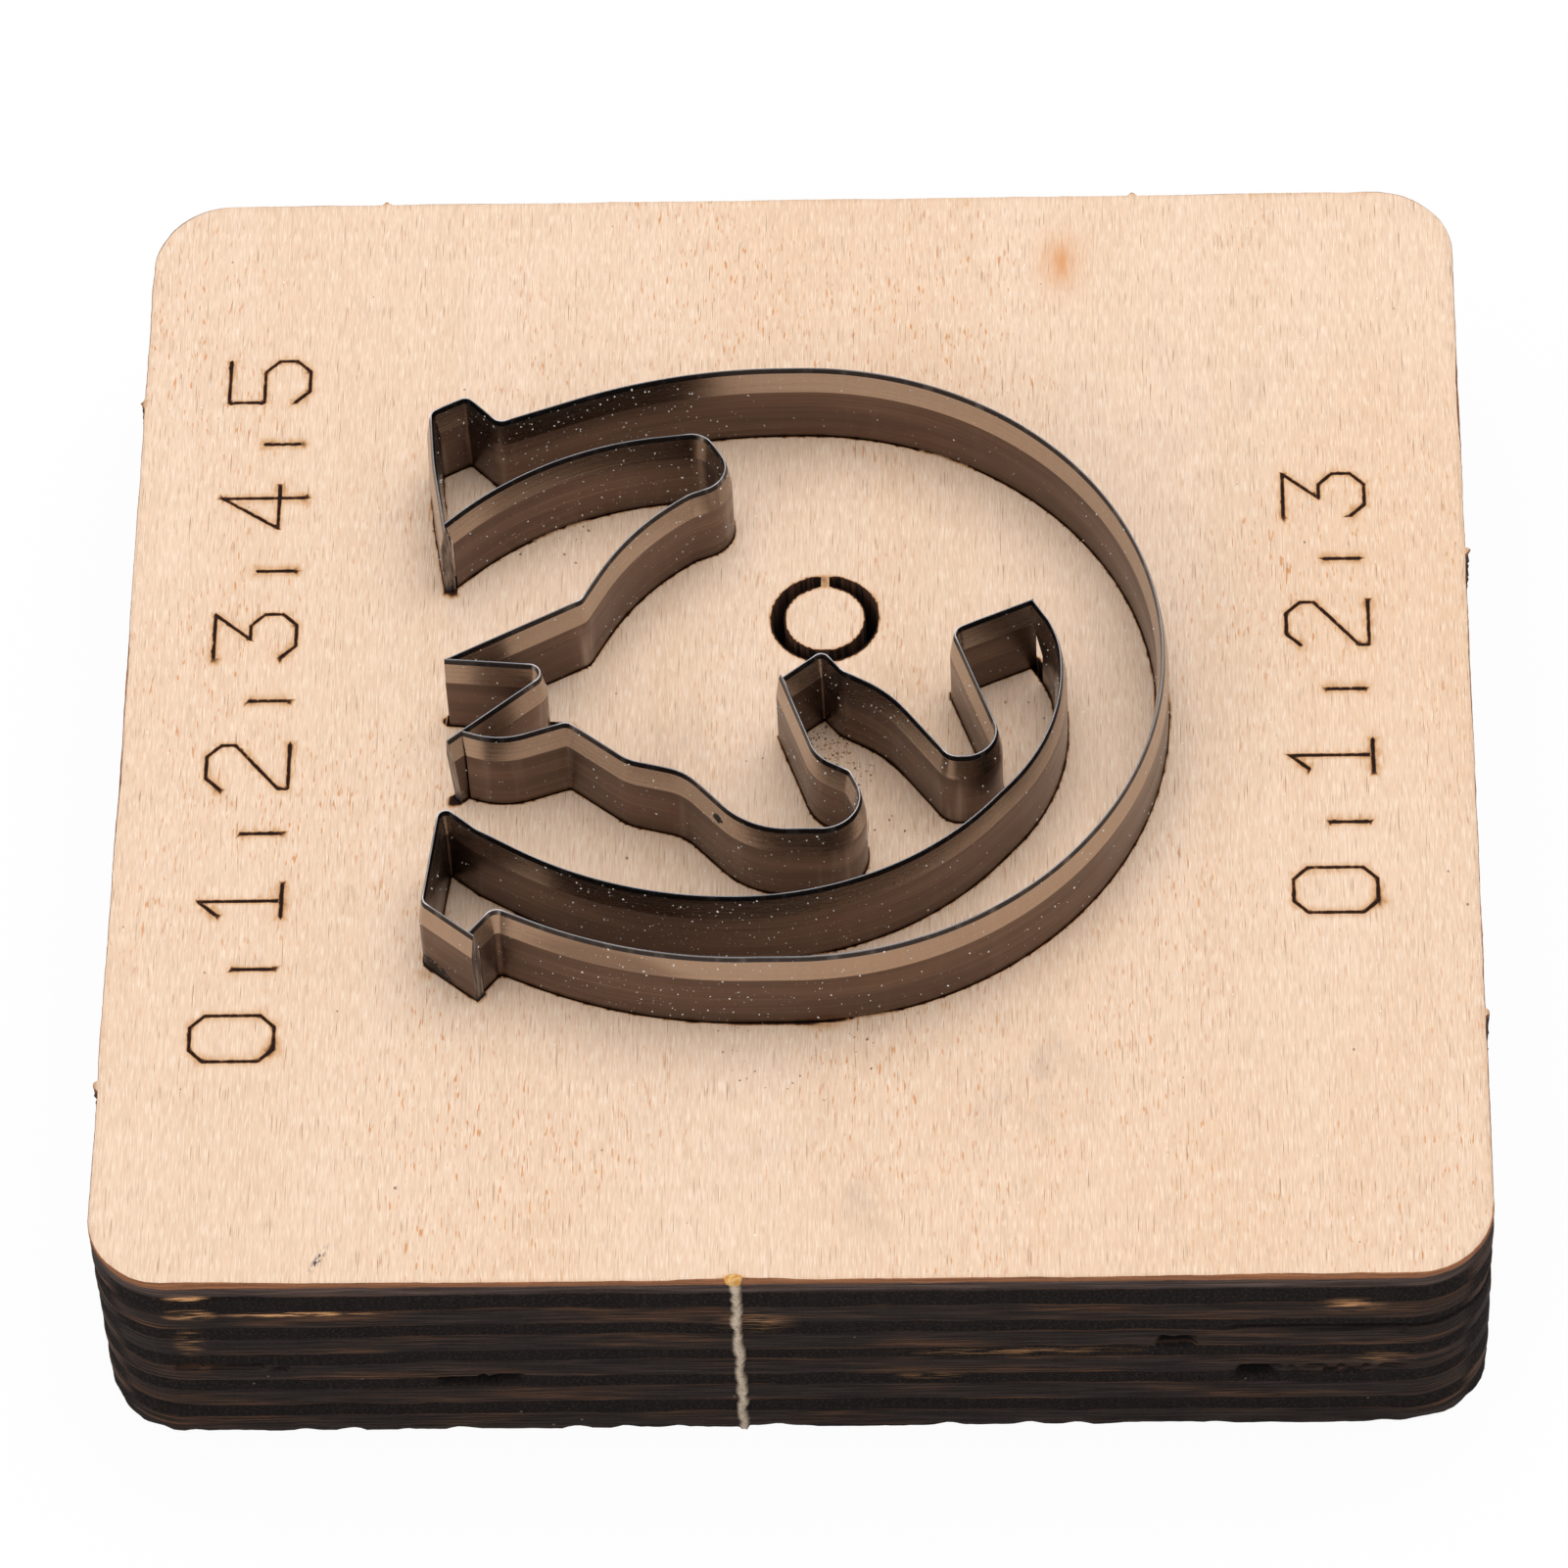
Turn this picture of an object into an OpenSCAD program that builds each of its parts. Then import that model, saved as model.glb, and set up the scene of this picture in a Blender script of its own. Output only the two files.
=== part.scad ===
// Steel rule die: bent cutting rules standing in a laser cut plywood board.
// Sizes in millimetres. Origin at the centre of the underside, +Z up, back of the board at +Y.

/* [Board] */
// side of the square board
board_w = 82; // [76:1:120]
// thickness of the board
board_t = 15.8; // [12:0.2:19]
// radius of the board's upright corners
corner_r = 5; // [2:0.5:8]
// number of plies in the board
ply_n = 11; // [7:2:15]
// how far the cross plies lie back from the others at the burnt edge
ply_back = 0.1; // [0.05:0.05:0.3]
// width of a stub left by a broken holding tab
tab_w = 0.8; // [0.5:0.1:2]
// how far a stub stands out of the edge
tab_out = 0.25; // [0.15:0.05:0.5]

/* [Cutting rules] */
// size of the cut shape against the drawn one, which is 45 wide
shape_size = 1; // [0.9:0.05:1.2]
// thickness of the rule steel
rule_t = 0.71; // [0.6:0.01:0.8]
// height of a rule from its back to the cutting edge
rule_h = 22; // [20:0.2:26]
// height of the long bevel on each side
bevel_h = 1.9; // [1:0.1:3]
// thickness where the long bevel meets the steep edge bevel
edge_t = 0.26; // [0.2:0.02:0.4]
// height of the steep edge bevel
edge_h = 0.35; // [0.2:0.05:0.6]
// width left flat along the cutting edge
edge_land = 0.06; // [0.04:0.02:0.12]
// how much the steel swells on each side of a bend
bend_swell = 0.004; // [0.002:0.001:0.008]
// how far a straight run enters the bend beside it
run_in = 0.02; // [0.01:0.005:0.03]
// air between the body of a butted rule and the side of the rule it meets
joint_gap = 0.12; // [0.05:0.01:0.2]
// air between the cutting edges at the same joint
edge_gap = 0.03; // [0.02:0.01:0.05]
// how far a sheared end hangs over its foot at the cutting edge
end_hang = 0.4; // [0.2:0.05:0.45]
// how far the root of the nose at the inner rule's start lies back from the joint
nose_l = 1.7; // [1:0.1:2.2]
// height of that root above the board
nose_root = 2.7; // [1.5:0.1:3.5]

/* [Slots] */
// slack between a rule and each side of its slot
slot_slack = 0.02; // [0.01:0.01:0.08]
// how far a slot runs on past the end of its rule
slot_past = 0.15; // [0.1:0.05:0.3]
// how far the straight cut for the ear runs on past both its corners
ear_past = 0.35; // [0.2:0.05:0.6]
// how much wider that straight cut is on each side than the slot it lies in
ear_wide = 0.04; // [0.03:0.01:0.1]
// length of a bridge that interrupts a slot
bridge_w = 4; // [3:0.5:5]
// slack round a bridge in a rule's notch
bridge_slack = 0.15; // [0.1:0.05:0.3]
// distance of the ring slot's centre to the right of the origin
ring_x = 1.7; // [0:0.1:3]
// distance of the ring slot's centre behind the origin
ring_y = 7.3; // [6:0.1:9]
// inside diameter of the ring slot
ring_d = 5; // [4:0.1:6]
// length of the bridge in the ring slot
ring_bridge = 0.5; // [0.4:0.1:1]

/* [Hidden] */
$fn = 96;
ply_t = board_t / ply_n;
slot_w = rule_t + 2 * slot_slack;
through = board_t + 2;
// length of a cut taken on each side of a joint
reach = 3.5 * rule_t;

// joints of the closed outline, each shared by the two rules that meet there
at_heel = [-21.3, 10.1];
at_tip = [-20.8, -0.2];
at_nape = [-19.7, -5.6];
at_chin = [-0.6, -1.9];
at_peak = [14.4, 3.8];
at_toe = [-18.8, -20.4];

// each rule in order round the outline: its corners, with the bend radius at those between its ends
outer_shoe = [
    at_toe, [-17.4, -18.6, 0.7], [-9.2, -22.4, 30], [22.2, -22.4, 22], [22.2, 22, 22],
    [-7.5, 22, 36], [-18.2, 18, 0.7], [-20.2, 20.1, 0.6], [-22.4, 18.9, 0.6], [-22.1, 15, 30], at_heel
];
neck = [
    at_heel, [-15.3, 15.9, 21], [-5.6, 17, 1.5], [-3.4, 13.4, 1.8], [-6.4, 12.2, 2], [-10, 9.6, 16],
    [-12.8, 4.2, 0.7], at_tip
];
ear = [at_tip, [-14.1, -0.8, 0.7], at_nape];
face = [
    at_nape, [-17.4, -6.4, 4.5], [-13.4, -5, 0.7], [-9.7, -7.9, 3], [-6.3, -8.8, 3.5], [-2.4, -13.1, 5.2],
    [5.3, -13.1, 2.3], [3.5, -8.9, 0.7], [1.5, -7.8, 2.5], at_chin
];
throat = [
    at_chin, [1.8, 0.1, 0.5], [3, -1.4, 1.2], [5.8, -3, 8], [9.4, -7.9, 1.1], [13, -7.9, 1.9],
    [9.6, 1.6, 0.7], at_peak
];
inner_shoe = [
    at_peak, [16.1, 1.2, 7.5], [16.1, -6.3, 13], [8.8, -14.9, 19], [0.6, -18, 20], [-10.2, -18, 25],
    [-18.6, -12.9, 3], [-20.8, -11, 0.5], [-21.6, -18.1, 0.6], at_toe
];
outline = [outer_shoe, neck, ear, face, throat, inner_shoe];
// how far each rule runs on past the joint at its start, or 0 where it butts on the rule before it
lead = [0, 0, 0.15, 0, 0, 0] * rule_t;
// how far each rule runs on past the joint at its end, or 0 where it butts on the rule after it
past = [0.85, 0, 1.55, 0.35, 0.1, 0.6] * rule_t;
// how far each rule's end hangs over its foot
hang = [end_hang, 0, end_hang, 0, 0, 0];
// bridges: rule, corner whose bend carries the bridge, place along that bend
bridges = [[0, 3, 0.12], [0, 4, 0.73], [1, 1, 0.5], [5, 4, 0.5]];
// places of the broken tabs along the front, right, back and left edges
tabs = [[-3.1], [-22.5, 12], [-20.8, 26.4], [-25, 26.7]];

function spot(path, i) = [path[i].x, path[i].y] * shape_size;
function radius(path, i) = path[i].z * shape_size;
function heading(path, i) = let (d = spot(path, i + 1) - spot(path, i)) atan2(d.y, d.x);
function half_turn(a) = a > 180 ? a - 360 : a < -180 ? a + 360 : a;
function at_end(path, i) = i == 0 || i == len(path) - 1;
function bend(path, i) = at_end(path, i) ? 0 : half_turn(heading(path, i) - heading(path, i - 1));
function tangent(path, i) = at_end(path, i) ? 0 : radius(path, i) * tan(abs(bend(path, i)) / 2);
function along(a) = [cos(a), sin(a)];
function bend_start(path, i) = spot(path, i) - tangent(path, i) * along(heading(path, i - 1));
function bend_side(path, i) = heading(path, i - 1) + 90 * sign(bend(path, i));
function bend_centre(path, i) = bend_start(path, i) + radius(path, i) * along(bend_side(path, i));
// how far the slot runs on at an end of its rule
function slot_run(run) = run > 0 ? run + slot_past : 0;

// the rule's upright section on its path, drawn in from the full size by less
module rule_section(less) {
    polygon([
        [-rule_t / 2 + less, 0], [rule_t / 2 - less, 0],
        [rule_t / 2 - less, rule_h - bevel_h - less], [edge_t / 2 - less, rule_h - edge_h - less],
        [edge_land / 2 - less, rule_h - less], [-edge_land / 2 + less, rule_h - less],
        [-edge_t / 2 + less, rule_h - edge_h - less], [-rule_t / 2 + less, rule_h - bevel_h - less]
    ]);
}

// the slot's upright section, right through the board
module slot_section(less) {
    translate([-slot_w / 2 + less, -1]) square([slot_w - 2 * less, through]);
}

// what is taken from a butted rule: the section of the rule it meets, with the air between them
module butt_section() {
    body = rule_t / 2 + joint_gap;
    neck = edge_t / 2 + edge_gap;
    edge = edge_land / 2 + edge_gap;
    polygon([
        [-body, -1], [body, -1], [body, rule_h - bevel_h], [neck, rule_h - edge_h],
        [edge, rule_h], [edge, rule_h + 1], [-edge, rule_h + 1], [-edge, rule_h],
        [-neck, rule_h - edge_h], [-body, rule_h - bevel_h]
    ]);
}

// straight run after corner i, with the given lengths past the two ends of the path
module straight(path, i, first, last) {
    h = heading(path, i);
    before = at_end(path, i) ? first : run_in;
    after = at_end(path, i + 1) ? last : run_in;
    from = spot(path, i) + (tangent(path, i) - before) * along(h);
    to = spot(path, i + 1) - (tangent(path, i + 1) - after) * along(h);
    translate(from) rotate([90, 0, 90 + h]) linear_extrude(norm(to - from)) children();
}

// bend at corner i
module curve(path, i) {
    turn = bend(path, i);
    from = turn > 0 ? heading(path, i - 1) - 90 : heading(path, i) + 90;
    translate(bend_centre(path, i)) rotate(from)
        rotate_extrude(angle = abs(turn)) translate([radius(path, i), 0]) children();
}

// a whole path: child 0 is the section on straight runs, child 1 the section through bends
module sweep(path, first, last) {
    count = len(path) - 1;
    for (i = [0 : count - 1]) straight(path, i, first, last) children(0);
    for (i = [1 : count - 1]) curve(path, i) children(1);
}

// moves to the joint at the start of a path, facing back out of it
module at_start(path) {
    translate(spot(path, 0)) rotate(heading(path, 0) + 180) children();
}

// moves to the joint at the end of a path, facing along its last run
module at_finish(path) {
    count = len(path) - 1;
    translate(spot(path, count)) rotate(heading(path, count - 1)) children();
}

// room for the rule that runs through a joint
module butt() {
    translate([-reach, 0, 0]) rotate([90, 0, 90]) linear_extrude(2 * reach) butt_section();
}

// what lies past an end that stands at foot up to the knee, and leans out to tip at the edge
module past_end(foot, knee, tip) {
    rotate([90, 0, 0]) linear_extrude(2 * rule_t, center = true) polygon([
        [foot, -1], [foot, knee], [tip, rule_h], [tip, rule_h + 1], [reach, rule_h + 1], [reach, -1]
    ]);
}

// block across the slot at a bridge
module bridge(place, length, height) {
    path = outline[place[0]];
    i = place[1];
    side = bend_side(path, i) + 180 + bend(path, i) * place[2];
    translate(bend_centre(path, i) + radius(path, i) * along(side)) rotate(side)
        translate([-1.5 * rule_t, -length / 2, -1]) cube([3 * rule_t, length, height + 1]);
}

// one bent rule, butted or run on at each of its joints
module cut_rule(k) {
    difference() {
        sweep(outline[k], lead[k], past[k]) {
            rule_section(bend_swell);
            rule_section(0);
        }
        if (lead[k] == 0) at_finish(outline[(k + 5) % 6]) butt();
        if (past[k] == 0) at_start(outline[(k + 1) % 6]) butt();
        if (hang[k] > 0) at_finish(outline[k]) past_end(past[k] - hang[k], board_t, past[k]);
        for (place = bridges)
            if (place[0] == k) bridge(place, bridge_w + 2 * bridge_slack, board_t + bridge_slack);
    }
}

module outer_shoe_rule() color("dimgray") cut_rule(0);
module neck_rule() color("dimgray") cut_rule(1);
module ear_rule() color("dimgray") cut_rule(2);
module face_rule() color("dimgray") cut_rule(3);
module throat_rule() color("dimgray") cut_rule(4);

// this rule reaches its first joint with a nose that hangs over its foot
module inner_shoe_rule() {
    color("dimgray") difference() {
        cut_rule(5);
        at_start(inner_shoe) past_end(-nose_l, board_t + nose_root, rule_t / 2);
    }
}

module rounded_square(w) {
    difference() {
        square(w, center = true);
        for (a = [0 : 90 : 270]) rotate(a) translate([w / 2 - corner_r, w / 2 - corner_r]) difference() {
            square(corner_r + 1);
            circle(corner_r);
        }
    }
}

// all the slots for the rules, with the bridges left standing
module rule_slots() {
    difference() {
        for (k = [0 : 5]) sweep(outline[k], slot_run(lead[k]), slot_run(past[k] - hang[k])) {
            slot_section(bend_swell);
            slot_section(0);
        }
        for (place = bridges) bridge(place, bridge_w, through);
    }
}

// straight cut under the ear, a little longer than its leg
module ear_cut() {
    h = heading(ear, 0);
    length = norm(spot(ear, 1) - spot(ear, 0)) + 2 * ear_past;
    width = slot_w + 2 * ear_wide;
    translate(spot(ear, 0) - ear_past * along(h)) rotate(h) translate([0, -width / 2, -1])
        cube([length, width, through]);
}

module ring_slot() {
    translate([ring_x, ring_y, -1]) difference() {
        cylinder(d = ring_d + 2 * slot_w, h = through);
        translate([0, 0, -1]) cylinder(d = ring_d, h = through + 2);
        translate([-ring_bridge / 2, 0, -1]) cube([ring_bridge, ring_d, through + 2]);
    }
}

// groove round the edge where the cross ply with this number lies back
module ply_groove(i) {
    translate([0, 0, i * ply_t]) linear_extrude(ply_t) difference() {
        square(board_w + 2, center = true);
        rounded_square(board_w - 2 * ply_back);
    }
}

module die_board() {
    color("burlywood") difference() {
        union() {
            difference() {
                linear_extrude(board_t) rounded_square(board_w);
                for (i = [1 : 2 : ply_n - 2]) ply_groove(i);
            }
            for (e = [0 : 3]) rotate(90 * e) for (x = tabs[e])
                translate([x - tab_w / 2, -board_w / 2 - tab_out, 0]) cube([tab_w, tab_out + 1, board_t]);
        }
        rule_slots();
        ear_cut();
        ring_slot();
    }
}

die_board();
outer_shoe_rule();
neck_rule();
ear_rule();
face_rule();
throat_rule();
inner_shoe_rule();
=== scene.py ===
"""Looks of a steel rule die: bent cutting rules standing in a laser cut plywood board.

Sizes in the classes are in millimetres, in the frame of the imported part: origin at the centre of
the underside, +Z up to the cutting edges, +Y to the back of the board. Scales of patterns are
waves for each metre, and colours are linear.
"""

from __future__ import annotations

import logging
import math
from collections.abc import Callable, Sequence
from dataclasses import dataclass, field
from enum import Enum

import bmesh
import bpy
import numpy as np
from mathutils import Matrix, Vector, noise
from mathutils.bvhtree import BVHTree
from mathutils.geometry import delaunay_2d_cdt
from mathutils.kdtree import KDTree

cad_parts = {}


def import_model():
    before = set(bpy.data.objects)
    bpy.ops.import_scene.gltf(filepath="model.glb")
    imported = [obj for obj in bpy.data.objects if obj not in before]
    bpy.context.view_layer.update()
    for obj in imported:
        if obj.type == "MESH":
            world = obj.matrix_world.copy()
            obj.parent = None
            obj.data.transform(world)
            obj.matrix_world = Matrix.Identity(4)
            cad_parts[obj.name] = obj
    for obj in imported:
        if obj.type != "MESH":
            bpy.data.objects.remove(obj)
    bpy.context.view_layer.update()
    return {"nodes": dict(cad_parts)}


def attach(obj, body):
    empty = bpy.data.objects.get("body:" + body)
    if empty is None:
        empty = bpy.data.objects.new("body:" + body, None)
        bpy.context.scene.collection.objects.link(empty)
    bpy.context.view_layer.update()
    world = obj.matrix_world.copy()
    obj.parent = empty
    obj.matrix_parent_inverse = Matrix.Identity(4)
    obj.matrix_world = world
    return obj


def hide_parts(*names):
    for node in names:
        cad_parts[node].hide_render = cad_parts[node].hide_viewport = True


LOG = logging.getLogger("steel_rule_die")
MM = 0.001
BOARD_TOP = 15.8
Triple = tuple[float, float, float]
Colour = Triple
Column = tuple[np.ndarray, np.ndarray, int, float]
Socket = bpy.types.NodeSocket
ORIGIN: Triple = (0.0, 0.0, 0.0)
EVEN: Triple = (1.0, 1.0, 1.0)


class Slot(Enum):
    """Names of two material slots."""

    PLYWOOD = "plywood"
    STEEL = "rule_steel"


class Wiring:
    """Adds nodes to one node tree and links them."""

    def __init__(self, tree: bpy.types.NodeTree) -> None:
        """Keeps the shader or geometry node tree to fill."""
        self.tree = tree

    def add(self, kind: str, inputs: dict | None = None, **settings: object) -> bpy.types.Node:
        """Adds one node.

        Args:
            kind: Blender's name of the node type.
            inputs: socket name or number to a value, or to a socket to link from.
            settings: properties of the node.

        Returns:
            The new node.
        """
        node = self.tree.nodes.new(kind)
        for name, value in settings.items():
            setattr(node, name, value)
        for key, value in (inputs or {}).items():
            self.feed(node.inputs[key], value)
        return node

    def feed(self, socket: Socket, value: object) -> None:
        """Links a socket into another one, or sets its value."""
        if isinstance(value, bpy.types.NodeSocket):
            self.tree.links.new(value, socket)
        elif isinstance(value, tuple) and len(value) == 3 and socket.type == "RGBA":
            socket.default_value = (*value, 1.0)
        else:
            socket.default_value = value

    def math(self, operation: str, a: object, b: object = 0.0, clamp: bool = False) -> Socket:
        """Adds a Math node and returns its output."""
        node = self.add("ShaderNodeMath", {0: a, 1: b}, operation=operation, use_clamp=clamp)
        return node.outputs[0]

    def times(self, a: object, b: object, clamp: bool = False) -> Socket:
        """Multiplies two numbers."""
        return self.math("MULTIPLY", a, b, clamp)

    def plus(self, a: object, b: object) -> Socket:
        """Adds two numbers."""
        return self.math("ADD", a, b)

    def minus(self, a: object, b: object, clamp: bool = False) -> Socket:
        """Takes the second number from the first."""
        return self.math("SUBTRACT", a, b, clamp)

    def linear(self, value: object, gain: float, start: float) -> Socket:
        """Returns a value times gain, raised by start."""
        return self.plus(self.times(value, gain), start)

    def step(self, value: Socket, low: object, high: object) -> Socket:
        """Returns a smooth step of value from 0 at low to 1 at high."""
        ends = {"Value": value, "From Min": low, "From Max": high}
        return self.add("ShaderNodeMapRange", ends, interpolation_type="SMOOTHSTEP").outputs[0]

    def mix(self, share: object, a: object, b: object) -> Socket:
        """Mixes two colours and returns the result."""
        return self.add("ShaderNodeMix", {0: share, 6: a, 7: b}, data_type="RGBA").outputs[2]

    def tint(self, base: object, mask: object, share: object, colour: object) -> Socket:
        """Lays a share of a colour over a base, where the mask is."""
        return self.mix(self.times(mask, share, clamp=True), base, colour)

    def coats(self, base: object, coats: Sequence[tuple[object, object, object]]) -> Socket:
        """Lays several colours over a base.

        Args:
            base: colour to start from.
            coats: mask, share and colour of each coat, from the lowest up.

        Returns:
            The resulting colour.
        """
        for mask, share, colour in coats:
            base = self.tint(base, mask, share, colour)
        return base

    def between(self, share: object, a: object, b: object) -> Socket:
        """Mixes two numbers and returns the result."""
        return self.add("ShaderNodeMix", {0: share, 2: a, 3: b}, data_type="FLOAT").outputs[0]

    def xyz(self, x: object, y: object, z: object) -> Socket:
        """Combines three numbers into a vector."""
        return self.add("ShaderNodeCombineXYZ", {0: x, 1: y, 2: z}).outputs[0]

    def vector(self, operation: str, a: object, b: object) -> Socket:
        """Adds a Vector Math node and returns its vector."""
        return self.add("ShaderNodeVectorMath", {0: a, 1: b}, operation=operation).outputs[0]

    def group(self, tree: bpy.types.NodeTree, **inputs: object) -> Socket:
        """Places a shader group with its inputs and returns its first output."""
        return self.add("ShaderNodeGroup", inputs, node_tree=tree).outputs[0]


class Effects:
    """Shader node groups that several finishes share."""

    def __init__(self) -> None:
        """Builds the groups once."""
        self.streaks = self._streaks()
        self.specks = self._specks()
        self.spot = self._spot()

    def _new(self, name: str, inputs: dict[str, object]) -> tuple[Wiring, Sequence[Socket]]:
        """Starts a group.

        Args:
            name: name of the group.
            inputs: default value by input name: a number, or three numbers for a vector.

        Returns:
            The wiring and the sockets of the inputs, in order.
        """
        tree = bpy.data.node_groups.new(name, "ShaderNodeTree")
        for label, value in inputs.items():
            kind = "NodeSocketVector" if isinstance(value, tuple) else "NodeSocketFloat"
            tree.interface.new_socket(label, in_out="INPUT", socket_type=kind).default_value = value
        tree.interface.new_socket("Mask", in_out="OUTPUT", socket_type="NodeSocketFloat")
        wiring = Wiring(tree)
        return wiring, wiring.add("NodeGroupInput").outputs[: len(inputs)]

    def _streaks(self) -> bpy.types.NodeTree:
        """Returns a group that draws streaks: noise stretched by Scale, cut between Low and High."""
        start = {"Vector": ORIGIN, "Scale": EVEN, "Detail": 2.0, "Low": 0.3, "High": 0.7}
        w, (place, scale, detail, low, high) = self._new("Streaks", start)
        inputs = {"Vector": w.vector("MULTIPLY", place, scale), "Scale": 1.0, "Detail": detail}
        cloud = w.add("ShaderNodeTexNoise", inputs)
        w.add("NodeGroupOutput", {0: w.step(cloud.outputs[0], low, high)})
        return w.tree

    def _specks(self) -> bpy.types.NodeTree:
        """Returns a group that draws round specks in cells, some cells left empty."""
        start = {"Vector": ORIGIN, "Scale": EVEN, "Size": 0.2, "Share": 0.3}
        w, (place, scale, size, share) = self._new("Specks", start)
        inputs = {"Vector": w.vector("MULTIPLY", place, scale), "Scale": 1.0}
        cell = w.add("ShaderNodeTexVoronoi", inputs)
        pick = w.add("ShaderNodeSeparateColor", {0: cell.outputs["Color"]})
        kept = w.math("LESS_THAN", pick.outputs[0], share)
        reach = w.times(size, w.plus(pick.outputs[1], 0.35))
        near = w.minus(1.0, w.math("DIVIDE", cell.outputs["Distance"], reach), clamp=True)
        w.add("NodeGroupOutput", {0: w.times(w.times(near, 3.0, clamp=True), kept)})
        return w.tree

    def _spot(self) -> bpy.types.NodeTree:
        """Returns a group that draws one soft oval spot at Centre with half sizes Size."""
        w, (place, centre, size) = self._new("Spot", {"Vector": ORIGIN, "Centre": ORIGIN, "Size": EVEN})
        unit_off = w.vector("DIVIDE", w.vector("SUBTRACT", place, centre), size)
        reach = w.add("ShaderNodeVectorMath", {0: unit_off}, operation="LENGTH")
        w.add("NodeGroupOutput", {0: w.step(reach.outputs["Value"], 1.0, 0.0)})
        return w.tree


class Finish:
    """A material in the making: its wiring, its shader and the coordinates that patterns use."""

    def __init__(self, name: str, effects: Effects) -> None:
        """Starts a material with one Principled shader.

        Args:
            name: name of the material.
            effects: the shared groups.
        """
        self.effects = effects
        self.material = bpy.data.materials.new(name)
        self.material.use_nodes = True
        self.wiring = Wiring(self.material.node_tree)
        self.wiring.tree.nodes.clear()
        self.shader = self.wiring.add("ShaderNodeBsdfPrincipled")
        self.wiring.add("ShaderNodeOutputMaterial", {0: self.shader.outputs[0]})
        self.place = self.wiring.add("ShaderNodeTexCoord").outputs["Object"]
        parts = self.wiring.add("ShaderNodeSeparateXYZ", {0: self.place})
        self.x, self.y, self.z = parts.outputs

    def set(self, **values: object) -> None:
        """Sets or links sockets of the shader, with _ for a space in a name."""
        for name, value in values.items():
            self.wiring.feed(self.shader.inputs[name.replace("_", " ")], value)

    def read(self, name: str) -> Socket:
        """Returns the number stored on the mesh under name."""
        return self.wiring.add("ShaderNodeAttribute", None, attribute_name=name).outputs["Fac"]

    def streaks(
        self, scale: Triple, detail: float, low: float, high: float, at: Socket | None = None
    ) -> Socket:
        """Draws streaks.

        Args:
            scale: waves for each metre along each axis.
            detail: layers of finer noise.
            low: noise at which the mask starts.
            high: noise at which the mask is full.
            at: coordinates, the object's own where none are given.

        Returns:
            The mask.
        """
        place = self.place if at is None else at
        inputs = {"Vector": place, "Scale": scale, "Detail": detail, "Low": low, "High": high}
        return self.wiring.group(self.effects.streaks, **inputs)

    def specks(self, scale: Triple, size: float, share: float, at: Socket | None = None) -> Socket:
        """Draws specks.

        Args:
            scale: cells for each metre along each axis.
            size: size of a speck in its cell.
            share: share of the cells that hold one.
            at: coordinates, the object's own where none are given.

        Returns:
            The mask.
        """
        place = self.place if at is None else at
        return self.wiring.group(self.effects.specks, Vector=place, Scale=scale, Size=size, Share=share)

    def spot(self, centre: Triple, size: Triple, at: Socket | None = None) -> Socket:
        """Draws one soft oval spot.

        Args:
            centre: its middle, in millimetres.
            size: its half sizes, in millimetres.
            at: coordinates, the object's own where none are given.

        Returns:
            The mask.
        """
        place = self.place if at is None else at
        middle, reach = (tuple(v * MM for v in numbers) for numbers in (centre, size))
        return self.wiring.group(self.effects.spot, Vector=place, Centre=middle, Size=reach)

    def rise(self, low: float, high: float) -> Socket:
        """Returns a smooth step from 0 at one height to 1 at another, in millimetres."""
        return self.wiring.step(self.z, low * MM, high * MM)

    def bump(self, height: Socket, depth: float, strength: float = 1.0) -> None:
        """Bends the shading by a height.

        Args:
            height: height from 0 to 1.
            depth: what 1 stands for, in millimetres.
            strength: share of the effect.
        """
        inputs = {"Height": height, "Distance": depth * MM, "Strength": strength}
        self.set(Normal=self.wiring.add("ShaderNodeBump", inputs).outputs[0])


class Recipe:
    """How a surface is painted: each kind of surface has a recipe of its own."""

    name: str

    def make(self, effects: Effects) -> bpy.types.Material:
        """Builds the material.

        Args:
            effects: the shared groups.

        Returns:
            The finished material.
        """
        f = Finish(self.name, effects)
        self.paint(f, f.wiring)
        return f.material

    def paint(self, f: Finish, w: Wiring) -> None:
        """Wires the shader of a material in the making."""
        raise NotImplementedError


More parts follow.
